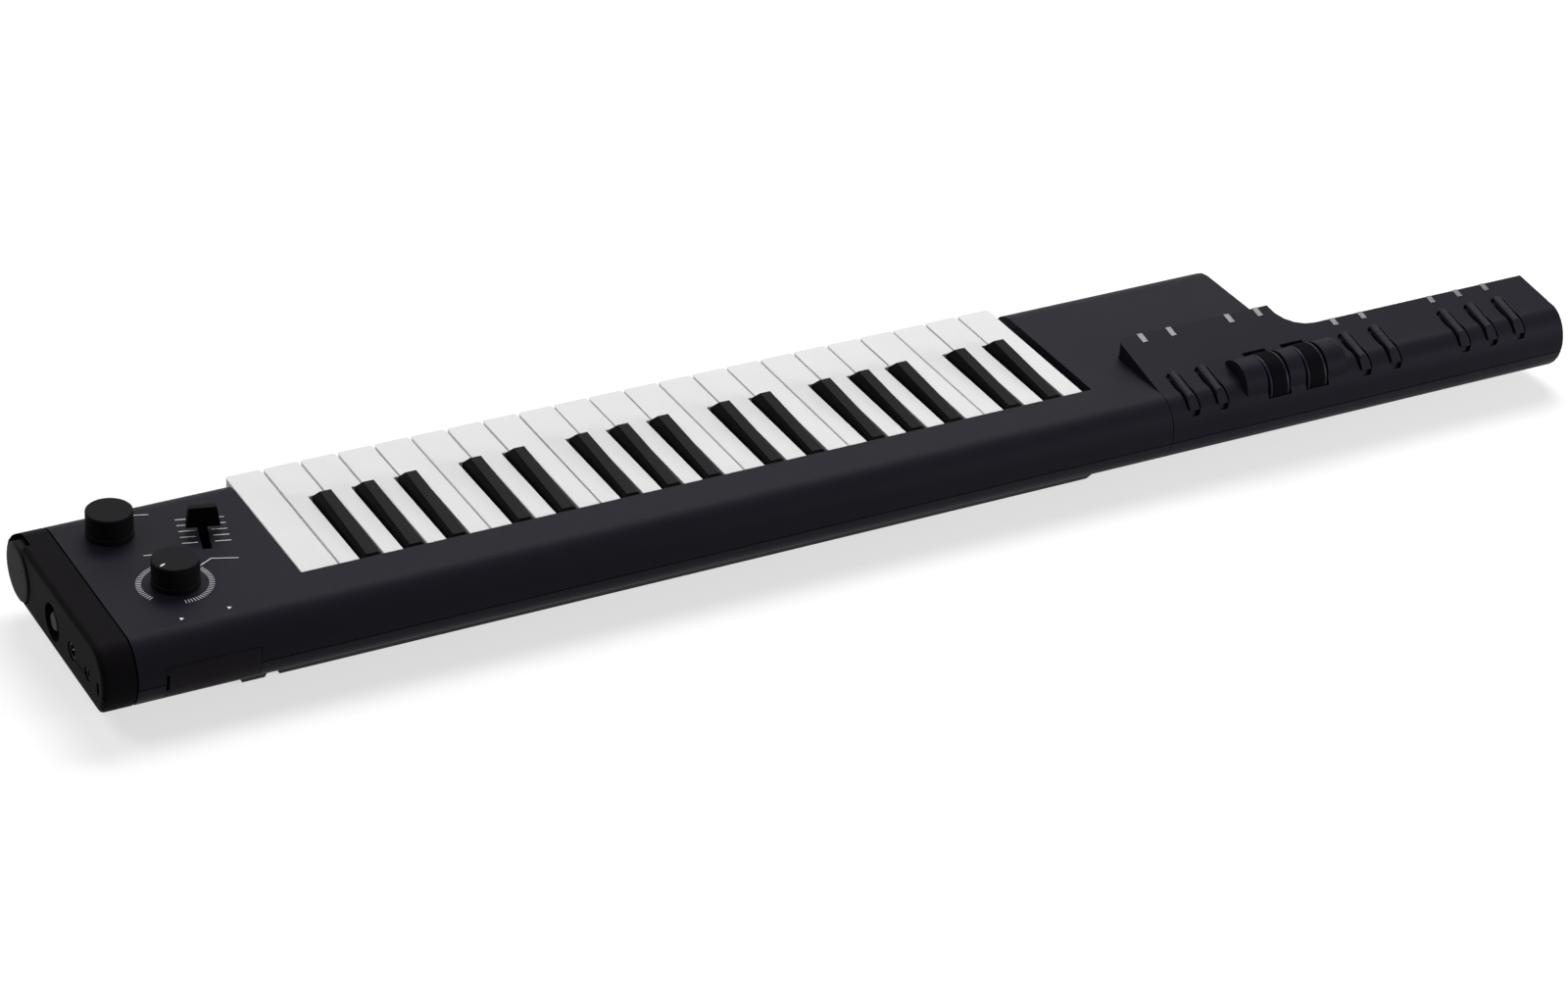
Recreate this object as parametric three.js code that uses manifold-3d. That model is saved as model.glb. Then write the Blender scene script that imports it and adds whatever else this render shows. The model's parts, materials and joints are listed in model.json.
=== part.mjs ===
// A strap-on keyboard with a control neck, 37 mini keys, two finger wheels and three effect controls.
// Lengths are in millimetres. X runs along the body toward the neck, Y toward the key tips, Z up.
// While the pieces are made, X is counted from the end cap's face, Y from the edge of the key
// opening that the keys come out of, and Z from the tops of the white keys.
import * as THREE from 'three';
import { mergeVertices } from 'three/addons/utils/BufferGeometryUtils.js';
import { ConvexGeometry } from 'three/addons/geometries/ConvexGeometry.js';
import Module from 'manifold-3d';

const wasm = await Module();
wasm.setup();

// Clearances and shared sizes
const gap = 0.3;
const seam = 0.4;
const overrun = 1;
const wall = 2.5;
const roundSteps = 20;
const smallSteps = 10;
const knobSteps = 20;
const wheelSteps = 20;
const cowlSteps = 24;
const cornerSteps = 2;
const jackSteps = 12;
const endSteps = 3;
const hookSteps = 4;

// Body section: flat top and bottom, a bullnose on the near side and a half round on the far side
const bodyTop = 1;
const bodyBottom = -35;
const nearFlatEdge = -20;
const noseDepth = 15.2;
const noseHeight = 19;
const heelRadius = 21.7;
const bodyDepth = bodyTop - bodyBottom;
const farRadius = bodyDepth / 2;
const farCentreZ = (bodyTop + bodyBottom) / 2;
const partingZ = -22.5;
const noseCentreZ = bodyTop - noseHeight;
const bodyNear = nearFlatEdge - noseDepth;
const noseSteps = 8;
const heelSteps = 4;
const farSteps = 10;

// White and black keys
const whiteCount = 22;
const keyPitch = 20.94;
const capSeam = 18;
const keysStart = 118.6;
const keySideGap = 0.5;
const keyTip = 104.35;
const keyDepth = 8.7;
const keyTop = 2;
const shankDepth = 3.6;
const shankTop = 2.6;
const keyWall = 1.5;
const keyCorner = 3.2;
const keyEdge = 1.6;
const keyNearGap = 0.6;
const openingStart = keysStart - keySideGap;
const openingSpare = 4.4;
const openingEnd = keysStart + whiteCount * keyPitch + openingSpare;
const farInset = 0.15;
const farCentreY = keyTip + farInset - farRadius;
const bodyFar = farCentreY + farRadius;
const railTop = -17;
const blackWidth = 10.2;
const blackTopWidth = 6.2;
const blackLength = 66.3;
const blackTipLean = 5.3;
const blackTipHeight = 6;
const blackTipRise = 0.8;
const blackNearHeight = 1.6;
const blackNearLean = 1.2;
const blackSink = 6;
const blackGap = 1.5;
const outerShiftOfThree = 3;
const outerShiftOfTwo = 2;

// Body length past the keys, and the neck
const moduleRest = 32.8;
const moduleLength = 99.5;
const neckLength = 165;
const moduleSeam = openingEnd + moduleRest;
const bodyEnd = moduleSeam + moduleLength;
const neckEnd = bodyEnd + neckLength;
const bodyCorner = 9;

// Hinge rail that every key turns on
const hingeY = -16;
const hingeZ = -10;
const hingeRadius = 2;
const hookWall = 1.7;
const railWeb = 1.6;
const tailTop = -2.6;
const tailWidth = 8;
const hookMouth = 2.5;

// Key frame
const frameFloor = -25.5;
const framePlate = 1.6;
const frameNear = -23;
const frameFarInset = 8.35;
const frameFar = keyTip - frameFarInset;
const frameSideGap = 1;
const guideInset = 20.35;
const guideY = keyTip - guideInset;
const guideWidth = 5;
const guideDepth = 3;
const guideDrop = 8;
const stopRailInset = 38.35;
const stopRailY = keyTip - stopRailInset;
const stopRailDepth = 9;
const stopRailHeight = 3;
const frameRib = 2.5;
const frameRibInset = 2;

// Neck module and neck
const panelRise = 0.229;
const panelAtZero = 5;
const moduleFar = 27.5;
const moduleCorner = 4.5;
const neckFar = 6.9;
const neckFillet = 19;
const neckFilletSteps = 5;
const neckWall = 3;
const neckEndSlant = 3;
const neckSlantStart = -16;

// Neck buttons
const moduleButtonShares = [0.146, 0.333];
const neckButtonShares = [0.177, 0.3, 0.589, 0.703, 0.819];
const buttonPlaces = [
  ...moduleButtonShares.map((share) => moduleSeam + share * moduleLength),
  ...neckButtonShares.map((share) => bodyEnd + share * neckLength),
];
const buttonWidth = 6;
const buttonFar = -7;
const buttonBendY = -26.5;
const buttonBendZ = 1.6;
const buttonToeY = -32.6;
const buttonToeZ = -5.7;
const buttonProud = 2.3;
const buttonSunk = 0.2;
const buttonRound = 2.5;
const buttonTravel = 1.5;
const buttonSide = 1.4;
const pocketDepth = 2;
const pocketNear = -33.6;
const stemWidth = 3.4;
const stemLength = 8;
const stemDrop = 7;
const stemY = -14;

// Finger wheels and their cowl
const wheelRadius = 15.8;
const wheelWidth = 12.6;
const wheelY = -17.2;
const wheelZ = -7.4;
const slotWidth = 15;
const slotFar = -3.5;
const cowlRest = 49.3;
const cowlLength = 66.2;
const cowlStart = moduleSeam + cowlRest;
const cowlEnd = cowlStart + cowlLength;
const wheelShares = [0.317, 0.695];
const wheelPlaces = wheelShares.map((share) => cowlStart + share * cowlLength);
const cowlRadius = 13.75;
const cowlY = -17.9;
const cowlZ = -5.1;
const axleRadius = 2.4;
const axleReach = 1.8;
const bearingWall = 2.4;
const bearingRadius = 5.4;
const bearingRise = 13;
const wheelGroove = 0.6;
const wheelRim = 1.4;
const wheelRimDrop = 0.4;
const wheelEdge = 0.7;
const wheelGap = 0.6;

// Status lenses
const moduleLensShares = [0.144, 0.333, 0.721, 0.913];
const neckLensShares = [0.183, 0.299, 0.588, 0.701, 0.815];
const moduleLenses = moduleLensShares.map((share) => moduleSeam + share * moduleLength);
const neckLenses = neckLensShares.map((share) => bodyEnd + share * neckLength);
const lensWidth = 3.4;
const moduleLensLength = 7;
const neckLensLength = 5.6;
const lensProud = 0.3;
const guideRailWidth = 3;
const guideRailThick = 2;
const crossingInset = 6.8;

// Knobs
const knobRadius = 12.2;
const knobHeight = 14.5;
const knobSkirt = 3;
const knobSkirtRadius = 12.5;
const knobGroove = 0.7;
const knobEdge = 0.6;
const knobShaft = 3;
const knobShaftDrop = 7;
const selectRest = 26.7;
const selectX = capSeam + selectRest;
const selectY = 72.5;
const effectRest = 40;
const effectX = capSeam + effectRest;
const effectY = 16.2;

// Effect lever
const leverRest = 29.7;
const leverX = keysStart - leverRest;
const leverY = 57.5;
const leverTurn = -14.5;
const leverSlotWidth = 5;
const leverSlotReach = 18.5;
const leverPivotDrop = 24.2;
const leverStemWidth = 4;
const leverStemDepth = 4.4;
const leverLift = 3.2;
const leverCapTop = 14.2;
const leverCapTopWidth = 14.3;
const leverCapBaseWidth = 17.6;
const leverCapTopDepth = 4;
const leverCapBaseDepth = 5.4;
const leverHub = 3.2;
const leverAxle = 1.8;
const leverAxleReach = 2;
const leverEar = 2;
const leverEarWidth = 7;
const leverEarSide = 0.6;

// End cap, volume dial, strap pegs and sockets
const capSkin = 12;
const capEdge = 3;
const dialInset = 1.5;
const dialRise = 0.4;
const dialY = farCentreY - dialInset;
const dialZ = farCentreZ - dialRise;
const dialRadius = 16;
const dialProud = 1;
const dialThick = 6;
const dialSide = 1;
const dialEdge = 0.6;
const dialHub = 5;
const dialHubReach = 4;
const scoopReach = 2.5;
const scoopLift = 15.9;
const scoopY = dialY + scoopReach;
const scoopZ = dialZ + scoopLift;
const scoopRadius = 9.5;
const scoopDepth = 4.8;
const pegDishY = 36.3;
const pegDishZ = -19;
const pegDishRadius = 10.2;
const pegDishDepth = 9;
const pegHead = 5.2;
const pegHeadThick = 2.2;
const pegNeck = 2.8;
const pegFoot = 4.6;
const pegFootThick = 1.5;
const pegSink = 0.8;
const pegEdge = 0.8;
const neckPegY = -14;
const neckPegZ = partingZ + pegDishRadius + wall;
const lineJackY = 8.7;
const lineJackZ = -19.7;
const lineJackBore = 3.3;
const lineJackRim = 5;
const phonesJackY = -13;
const phonesJackZ = -20.3;
const phonesJackBore = 1.85;
const phonesJackRim = 3.5;
const jackRimDepth = 0.8;
const powerY = -27.4;
const powerZ = -20.5;
const powerWidth = 3;
const powerHeight = 7;
const powerDepth = 8;
const powerPin = 0.6;
const powerBossReach = 4;
const powerBossHalf = 7;

// Terminal flap on the near side and the recess behind it
const flapRest = 15;
const flapLength = 49.5;
const flapStart = capSeam + flapRest;
const flapEnd = flapStart + flapLength;
const flapTop = -13;
const flapBottom = -32;
const flapThick = 2;
const flapPin = 0.7;
const flapPinReach = 1.4;
const flapNotchWidth = 1.4;
const flapNotchTop = -17;
const flapNotchBottom = -27;
const recessY = -24.5;
const recessWall = 2;
const hostRest = 14;
const hostX = flapStart + hostRest;
const hostWidth = 12;
const hostHeight = 10.6;
const serialRest = 37;
const serialX = flapStart + serialRest;
const serialRadius = 5;
const socketDepth = 13;
const socketWall = 0.8;
const serialWall = 1.6;

// Connector board with sockets on two of its edges
const boardTop = -27;
const boardThick = 1.6;
const boardRest = 1;
const boardLength = 57;
const boardStart = capSeam + boardRest;
const boardEnd = boardStart + boardLength;
const boardNear = -20;
const boardFar = 17;
const jackBody = 9;
const jackBodySide = 6.6;
const standRadius = 3;
const standInset = 5;

// Underside tray with the battery door
const trayRest = 59;
const trayEndInset = 3.7;
const trayStart = capSeam + trayRest;
const trayEnd = openingEnd - trayEndInset;
const trayNear = -22;
const trayFarInset = 22.5;
const trayFar = bodyFar - trayFarInset;
const trayBottom = -46.5;
const trayDraft = 8.4;
const trayEndDraft = 3.4;
const trayNotchRest = 15.5;
const trayNotchWidth = 8;
const trayNotchStart = trayStart + trayNotchRest;
const trayNotchEnd = trayNotchStart + trayNotchWidth;
const trayNotchReach = 12;
const doorRest = 173;
const doorLength = 142;
const doorFarInset = 18;
const doorWidth = 56;
const doorStart = trayStart + doorRest;
const doorEnd = doorStart + doorLength;
const doorFar = trayFar - doorFarInset;
const doorNear = doorFar - doorWidth;
const doorThick = 3.2;
const doorPin = 0.8;
const doorPinReach = 1.6;
const gripLines = 5;
const gripPitch = 4.8;
const gripLength = 32;
const gripWidth = 1.6;
const gripDepth = 1;
const wellWall = 2;
const wellTop = frameFloor - gap - wellWall;
const wellLip = 2;

// Finishes
const finishes = {
  body: { color: 0x26252c, roughness: 0.55, metalness: 0.0 },
  cap: { color: 0x252325, roughness: 0.6, metalness: 0.0 },
  white: { color: 0xe9e9e9, roughness: 0.35, metalness: 0.0 },
  black: { color: 0x17171a, roughness: 0.2, metalness: 0.0 },
  knob: { color: 0x1b1a1c, roughness: 0.65, metalness: 0.0 },
  rubber: { color: 0x1d1c22, roughness: 0.8, metalness: 0.0 },
  lens: { color: 0xc9ced8, roughness: 0.25, metalness: 0.0 },
  frame: { color: 0x55565a, roughness: 0.6, metalness: 0.0 },
  board: { color: 0x2a2c2e, roughness: 0.5, metalness: 0.2 },
};

// Solids from geometry, and geometry from solids
function solidOf(geometry) {
  const plain = geometry.clone();
  for (const name of Object.keys(plain.attributes)) {
    if (name !== 'position') plain.deleteAttribute(name);
  }
  const merged = mergeVertices(plain.index ? plain : mergeVertices(plain));
  const vertProperties = new Float32Array(merged.attributes.position.array);
  const triVerts = new Uint32Array(merged.index.array);
  return new wasm.Manifold(new wasm.Mesh({ numProp: 3, vertProperties, triVerts }));
}

function geometryOf(solid) {
  const mesh = solid.getMesh();
  const geometry = new THREE.BufferGeometry();
  geometry.setAttribute('position', new THREE.BufferAttribute(new Float32Array(mesh.vertProperties), 3));
  geometry.setIndex(new THREE.BufferAttribute(new Uint32Array(mesh.triVerts), 1));
  const flat = geometry.toNonIndexed();
  flat.computeVertexNormals();
  return flat;
}

function joined(solids) {
  return solids.reduce((sum, next) => sum.add(next));
}

function moved(solid, matrix) {
  const geometry = geometryOf(solid);
  geometry.applyMatrix4(matrix);
  return solidOf(geometry);
}

// Basic solids
const point = (a, b) => new THREE.Vector2(a, b);

function block(x0, x1, y0, y1, z0, z1) {
  const geometry = new THREE.BoxGeometry(x1 - x0, y1 - y0, z1 - z0);
  geometry.translate((x0 + x1) / 2, (y0 + y1) / 2, (z0 + z1) / 2);
  return solidOf(geometry);
}

function profileSolid(outline, depth, matrix) {
  const geometry = new THREE.ExtrudeGeometry(new THREE.Shape(outline), { depth, bevelEnabled: false });
  geometry.applyMatrix4(matrix);
  return solidOf(geometry);
}

// An outline in Y and Z, pushed along X
function alongX(outline, x0, x1) {
  const turn = new THREE.Matrix4().set(0, 0, 1, x0, 1, 0, 0, 0, 0, 1, 0, 0, 0, 0, 0, 1);
  return profileSolid(outline, x1 - x0, turn);
}

// An outline in X and Z, pushed along Y
function alongY(outline, y0, y1) {
  const turn = new THREE.Matrix4().set(1, 0, 0, 0, 0, 0, -1, y1, 0, 1, 0, 0, 0, 0, 0, 1);
  return profileSolid(outline, y1 - y0, turn);
}

// An outline in X and Y, pushed along Z
function alongZ(outline, z0, z1) {
  return profileSolid(outline, z1 - z0, new THREE.Matrix4().makeTranslation(0, 0, z0));
}

function rodX(x0, x1, y, z, radius, steps = roundSteps) {
  const geometry = new THREE.CylinderGeometry(radius, radius, x1 - x0, steps);
  geometry.rotateZ(Math.PI / 2);
  geometry.translate((x0 + x1) / 2, y, z);
  return solidOf(geometry);
}

function rodY(x, y0, y1, z, radius, steps = roundSteps) {
  const geometry = new THREE.CylinderGeometry(radius, radius, y1 - y0, steps);
  geometry.translate(x, (y0 + y1) / 2, z);
  return solidOf(geometry);
}

function rodZ(x, y, z0, z1, radius, steps = roundSteps) {
  const geometry = new THREE.CylinderGeometry(radius, radius, z1 - z0, steps);
  geometry.rotateX(Math.PI / 2);
  geometry.translate(x, y, (z0 + z1) / 2);
  return solidOf(geometry);
}

// A turned solid from a half profile of radius and height, standing along Z
function turned(profile, steps = roundSteps) {
  const geometry = new THREE.LatheGeometry(profile, steps);
  geometry.rotateX(Math.PI / 2);
  return geometry;
}

function arc(y, z, radiusY, radiusZ, from, to, steps) {
  return new THREE.EllipseCurve(y, z, radiusY, radiusZ, from, to, to < from).getPoints(steps);
}

// A skin between rings of equal length, each ring at its own X, closed at both ends
function lofted(rings) {
  const positions = [];
  const indices = [];
  const count = rings[0].outline.length;
  for (const ring of rings) {
    for (const corner of ring.outline) positions.push(ring.x, corner.x, corner.y);
  }
  for (let level = 0; level < rings.length - 1; level += 1) {
    for (let side = 0; side < count; side += 1) {
      const next = (side + 1) % count;
      const low = level * count;
      const high = low + count;
      indices.push(low + side, high + next, high + side, low + side, low + next, high + next);
    }
  }
  const faces = THREE.ShapeUtils.triangulateShape(rings[0].outline, []);
  const last = (rings.length - 1) * count;
  for (const [a, b, c] of faces) indices.push(a, c, b, last + a, last + b, last + c);
  const geometry = new THREE.BufferGeometry();
  geometry.setAttribute('position', new THREE.Float32BufferAttribute(positions, 3));
  geometry.setIndex(indices);
  return solidOf(geometry);
}

// The near side that body and neck share, from the panel's edge over the bullnose to the bottom
function nearSide(margin) {
  const heelCentreY = bodyNear + heelRadius;
  const heelDrop = noseCentreZ - bodyBottom - margin;
  const heelEnd = Math.PI + Math.asin(heelDrop / (heelRadius - margin));
  const noseY = noseDepth - margin;
  const noseZ = noseHeight - margin;
  const heel = heelRadius - margin;
  return [
    ...arc(nearFlatEdge, noseCentreZ, noseY, noseZ, Math.PI / 2, Math.PI, noseSteps),
    ...arc(heelCentreY, noseCentreZ, heel, heel, Math.PI, heelEnd, heelSteps).slice(1),
  ];
}

// The body's section, drawn in by a margin
function bodySection(margin) {
  const far = farRadius - margin;
  return [...nearSide(margin), ...arc(farCentreY, farCentreZ, far, far, -Math.PI / 2, Math.PI / 2, farSteps)];
}

// A plan outline with one rounded corner where the body's far side ends
function bodyPlan(start, inset) {
  const end = bodyEnd - inset;
  const far = bodyFar - inset;
  const corner = bodyCorner - inset;
  const turn = arc(end - corner, far - corner, corner, corner, 0, Math.PI / 2, neckFilletSteps);
  return [point(start, bodyNear - overrun), point(end, bodyNear - overrun), ...turn, point(start, far)];
}

// The plan of the neck module and neck, drawn in by a margin
function modulePlan(margin) {
  const start = moduleSeam + margin;
  const far = moduleFar - margin;
  const back = bodyEnd - margin;
  const slim = neckFar - margin;
  const fillet = Math.min(neckFillet, far - slim);
  const cornerTurn = moduleCorner - margin / 2;
  const near = bodyNear - overrun + margin;
  const hollow = arc(back + fillet, slim + fillet, fillet, fillet, Math.PI, Math.PI * 1.5, neckFilletSteps);
  const corner = arc(start + cornerTurn, far - cornerTurn, cornerTurn, cornerTurn, Math.PI / 2, Math.PI,
    heelSteps);
  const endNear = point(neckEnd - margin, near);
  const endTurn = point(neckEnd - margin, neckSlantStart);
  const endFar = point(neckEnd - neckEndSlant - margin, slim);
  return [...corner, point(start, near), endNear, endTurn, endFar, ...hollow.reverse(), point(back, far)];
}

const panelZ = (y) => panelAtZero + panelRise * y;
const panelAngle = Math.atan(panelRise);

// The neck's section: the body's near side under a panel that rises toward the far side
function neckSection(margin) {
  const far = moduleFar - margin;
  const drop = margin / Math.cos(panelAngle);
  const rise = (bodyTop - panelAtZero) / panelRise;
  return [
    ...nearSide(margin).slice(1),
    point(far, bodyBottom + margin),
    point(far, panelZ(far) - drop),
    point(rise, bodyTop - margin),
  ];
}

// Keys by name, from the end cap to the neck
const topOctave = 6;
const octaveNotes = ['c', 'b', 'a', 'g', 'f', 'e', 'd'];
const sharpBelow = { b: true, a: true, g: true, e: true, d: true };
const sharpShift = {
  b: -outerShiftOfThree,
  a: 0,
  g: outerShiftOfThree,
  e: -outerShiftOfTwo,
  d: outerShiftOfTwo,
};

function keyNote(index) {
  return octaveNotes[index % octaveNotes.length];
}

function keyOctave(index) {
  return topOctave - Math.ceil(index / octaveNotes.length);
}

// Centre of the black key between white key index and the next one, or null where there is none
function blackCentre(index) {
  if (index < 0 || index >= whiteCount - 1 || !sharpBelow[keyNote(index)]) return null;
  return keysStart + (index + 1) * keyPitch + sharpShift[keyNote(index)];
}

// The part of a white key that passes between its black neighbours
function keyShank(index) {
  const before = blackCentre(index - 1);
  const after = blackCentre(index);
  const left = keysStart + index * keyPitch + keySideGap;
  const right = keysStart + (index + 1) * keyPitch - keySideGap;
  const clear = blackWidth / 2 + blackGap;
  return [before === null ? left : before + clear, after === null ? right : after - clear];
}

// A hook at the end of a key's tail that clips over the hinge rail from above
function hingeHook(x0, x1, tailFar) {
  const hookRadius = hingeRadius + gap;
  const outer = hookRadius + hookWall;
  const low = hingeZ - hookMouth;
  const bore = arc(hingeY, hingeZ, hookRadius, hookRadius, Math.PI, 0, hookSteps);
  const outline = [
    point(hingeY - outer, low),
    point(hingeY - hookRadius, low),
    ...bore,
    point(hingeY + hookRadius, low),
    point(tailFar, low),
    point(tailFar, tailTop),
    point(hingeY, tailTop),
    point(hingeY - outer, hingeZ + hookRadius),
  ];
  return alongX(outline, x0, x1);
}

function whiteKey(index) {
  const left = keysStart + index * keyPitch + keySideGap;
  const right = keysStart + (index + 1) * keyPitch - keySideGap;
  const [shankLeft, shankRight] = keyShank(index);
  const shankFar = blackLength + blackGap;
  const cornerLeft = arc(left + keyCorner, keyTip - keyCorner, keyCorner, keyCorner, Math.PI, Math.PI / 2,
    cornerSteps);
  const cornerRight = arc(right - keyCorner, keyTip - keyCorner, keyCorner, keyCorner, Math.PI / 2, 0,
    cornerSteps);
  const outline = [point(shankLeft, keyNearGap), point(shankRight, keyNearGap)];
  if (shankRight < right) outline.push(point(shankRight, shankFar), point(right, shankFar));
  outline.push(...cornerRight.reverse(), ...cornerLeft.reverse());
  if (shankLeft > left) outline.push(point(left, shankFar), point(shankLeft, shankFar));
  const plan = alongZ(outline, -keyDepth, 0);
  const tipRound = arc(keyTip - keyEdge, -keyEdge, keyEdge, keyEdge, 0, Math.PI / 2, cornerSteps);
  const sideOutline = [
    point(keyNearGap, -shankDepth),
    point(shankFar, -shankDepth),
    point(shankFar, -keyDepth),
    point(keyTip, -keyDepth),
    ...tipRound,
    point(keyNearGap, 0),
  ];
  const side = alongX(sideOutline, left - overrun, right + overrun);
  const headHollow = block(left + keyWall, right - keyWall, shankFar + keyWall, keyTip - keyCorner,
    -keyDepth - overrun, -keyTop);
  const tailFar = keyNearGap + keyWall;
  const channel = block(shankLeft + keyWall, shankRight - keyWall, tailFar + keyWall, shankFar - keyWall,
    -shankDepth - overrun, -shankTop);
  const middle = (shankLeft + shankRight) / 2;
  const tail = hingeHook(middle - tailWidth / 2, middle + tailWidth / 2, tailFar);
  return plan.intersect(side).subtract(headHollow).subtract(channel).add(tail);
}

function blackKey(index) {
  const centre = blackCentre(index);
  const half = blackWidth / 2;
  const topHalf = blackTopWidth / 2;
  const corners = [];
  for (const side of [-1, 1]) {
    corners.push(new THREE.Vector3(centre + side * half, keyNearGap, -blackSink));
    corners.push(new THREE.Vector3(centre + side * half, keyNearGap, 0));
    corners.push(new THREE.Vector3(centre + side * topHalf, keyNearGap + blackNearLean, blackNearHeight));
    corners.push(new THREE.Vector3(centre + side * topHalf, blackLength - blackTipLean, blackTipHeight));
    corners.push(new THREE.Vector3(centre + side * half, blackLength, blackTipRise));
    corners.push(new THREE.Vector3(centre + side * half, blackLength, -blackSink));
  }
  const body = solidOf(new ConvexGeometry(corners));
  const hollow = block(centre - half + keyWall, centre + half - keyWall, keyNearGap + keyWall,
    blackLength - keyWall, -blackSink - overrun, -keyTop);
  const tail = hingeHook(centre - tailWidth / 2, centre + tailWidth / 2, keyNearGap + keyWall + overrun);
  return body.subtract(hollow).add(tail);
}

// The moulded frame under the keys: floor plate, hinge rail on its web, guide posts and end stands
function keyFrame() {
  const start = openingStart + frameSideGap;
  const end = openingEnd - frameSideGap;
  const plate = block(start, end, frameNear, frameFar, frameFloor, frameFloor + framePlate);
  const web = block(start, end, hingeY - railWeb / 2, hingeY + railWeb / 2, frameFloor, hingeZ);
  const rod = rodX(start, end, hingeY, hingeZ, hingeRadius, smallSteps);
  const stopRail = block(start, end, stopRailY, stopRailY + stopRailDepth, frameFloor + framePlate / 2,
    frameFloor + framePlate + stopRailHeight);
  const posts = [];
  for (let index = 0; index < whiteCount; index += 1) {
    const middle = keysStart + (index + 0.5) * keyPitch;
    posts.push(block(middle - guideWidth / 2, middle + guideWidth / 2, guideY - guideDepth / 2,
      guideY + guideDepth / 2, frameFloor + framePlate / 2, -guideDrop));
  }
  return joined([plate, web, rod, stopRail, ...posts]);
}

// Shapes shared by the case and what passes through it
const leverPlace = new THREE.Matrix4().makeRotationZ(THREE.MathUtils.degToRad(leverTurn))
  .setPosition(leverX, leverY, 0);

function flapOpening(margin) {
  return block(flapStart - margin, flapEnd + margin, bodyNear - overrun, recessY, flapBottom - margin,
    flapTop + margin);
}

function keyOpening() {
  return block(openingStart, openingEnd, 0, bodyFar + overrun, railTop, bodyTop + overrun);
}

// The upper case: panel, bullnose and far side down to the parting line
function upperCase() {
  const start = capSeam + seam / 2;
  const low = partingZ + seam / 2;
  const plan = alongZ(bodyPlan(start, 0), low, bodyTop + overrun);
  const outer = alongX(bodySection(0), start, bodyEnd).intersect(plan);
  const chambers = [
    [start - overrun, openingStart - wall],
    [openingStart, openingEnd],
    [openingEnd + wall, bodyEnd - wall],
  ];
  let shell = outer;
  for (const [x0, x1] of chambers) {
    const room = alongX(bodySection(wall), x0, x1);
    shell = shell.subtract(room.intersect(alongZ(bodyPlan(x0, wall), low - overrun, bodyTop)));
  }
  const rail = block(openingStart - overrun, openingEnd + overrun, farCentreY, bodyFar, low, railTop);
  const railBody = rail.intersect(alongX(bodySection(0), openingStart - overrun, openingEnd + overrun));
  const railHollow = alongX(bodySection(wall), openingStart, openingEnd)
    .intersect(block(openingStart, openingEnd, bodyNear, bodyFar, low - overrun, railTop - wall));
  shell = shell.add(railBody).subtract(keyOpening()).subtract(railHollow);
  const notchWalls = alongZ(modulePlan(-wall - gap), low, bodyTop).intersect(outer);
  const notch = alongZ(modulePlan(-gap), low - overrun, bodyTop + overrun);
  shell = shell.add(notchWalls).subtract(notch);
  const ears = leverEars();
  const flapRoom = flapOpening(seam / 2);
  const bosses = [knobBoss(selectX, selectY), knobBoss(effectX, effectY)];
  shell = joined([shell, ears, ...bosses, recessRoof()]).subtract(flapRoom);
  const boreLow = -knobShaftDrop - overrun;
  for (const [x, y] of [[selectX, selectY], [effectX, effectY]]) {
    shell = shell.subtract(rodZ(x, y, boreLow, bodyTop + overrun, knobShaft + gap, smallSteps));
  }
  return shell.subtract(leverSlot()).subtract(flapPinHoles());
}

// A shelf over the terminal recess that closes it toward the inside of the case
function recessRoof() {
  const start = flapStart - recessWall;
  const end = flapEnd + recessWall;
  const low = flapTop + seam / 2;
  const shelf = block(start, end, bodyNear, recessY + recessWall, low, low + recessWall);
  return shelf.intersect(alongX(bodySection(wall / 2), start, end));
}

function knobBoss(x, y) {
  return rodZ(x, y, -knobShaftDrop, bodyTop - wall / 2, knobShaft + gap + wall / 2, smallSteps);
}

function leverSlot() {
  const half = leverSlotWidth / 2;
  const slot = block(-half, half, -leverSlotReach, leverSlotReach, -wall - overrun, bodyTop + overrun);
  return moved(slot, leverPlace);
}

// Two ears under the panel that carry the lever's axle
function leverEars() {
  const inner = leverStemWidth / 2 + leverEarSide;
  const pivot = bodyTop - leverPivotDrop;
  const parts = [];
  for (const side of [-1, 1]) {
    const x0 = Math.min(side * inner, side * (inner + leverEar));
    const ear = block(x0, x0 + leverEar, -leverEarWidth / 2, leverEarWidth / 2, pivot, bodyTop - wall / 2);
    const eye = rodX(x0, x0 + leverEar, 0, pivot, leverEarWidth / 2, smallSteps);
    const bore = rodX(x0 - overrun, x0 + leverEar + overrun, 0, pivot, leverAxle + gap, smallSteps);
    parts.push(ear.add(eye).subtract(bore));
  }
  return moved(joined(parts), leverPlace);
}

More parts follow.
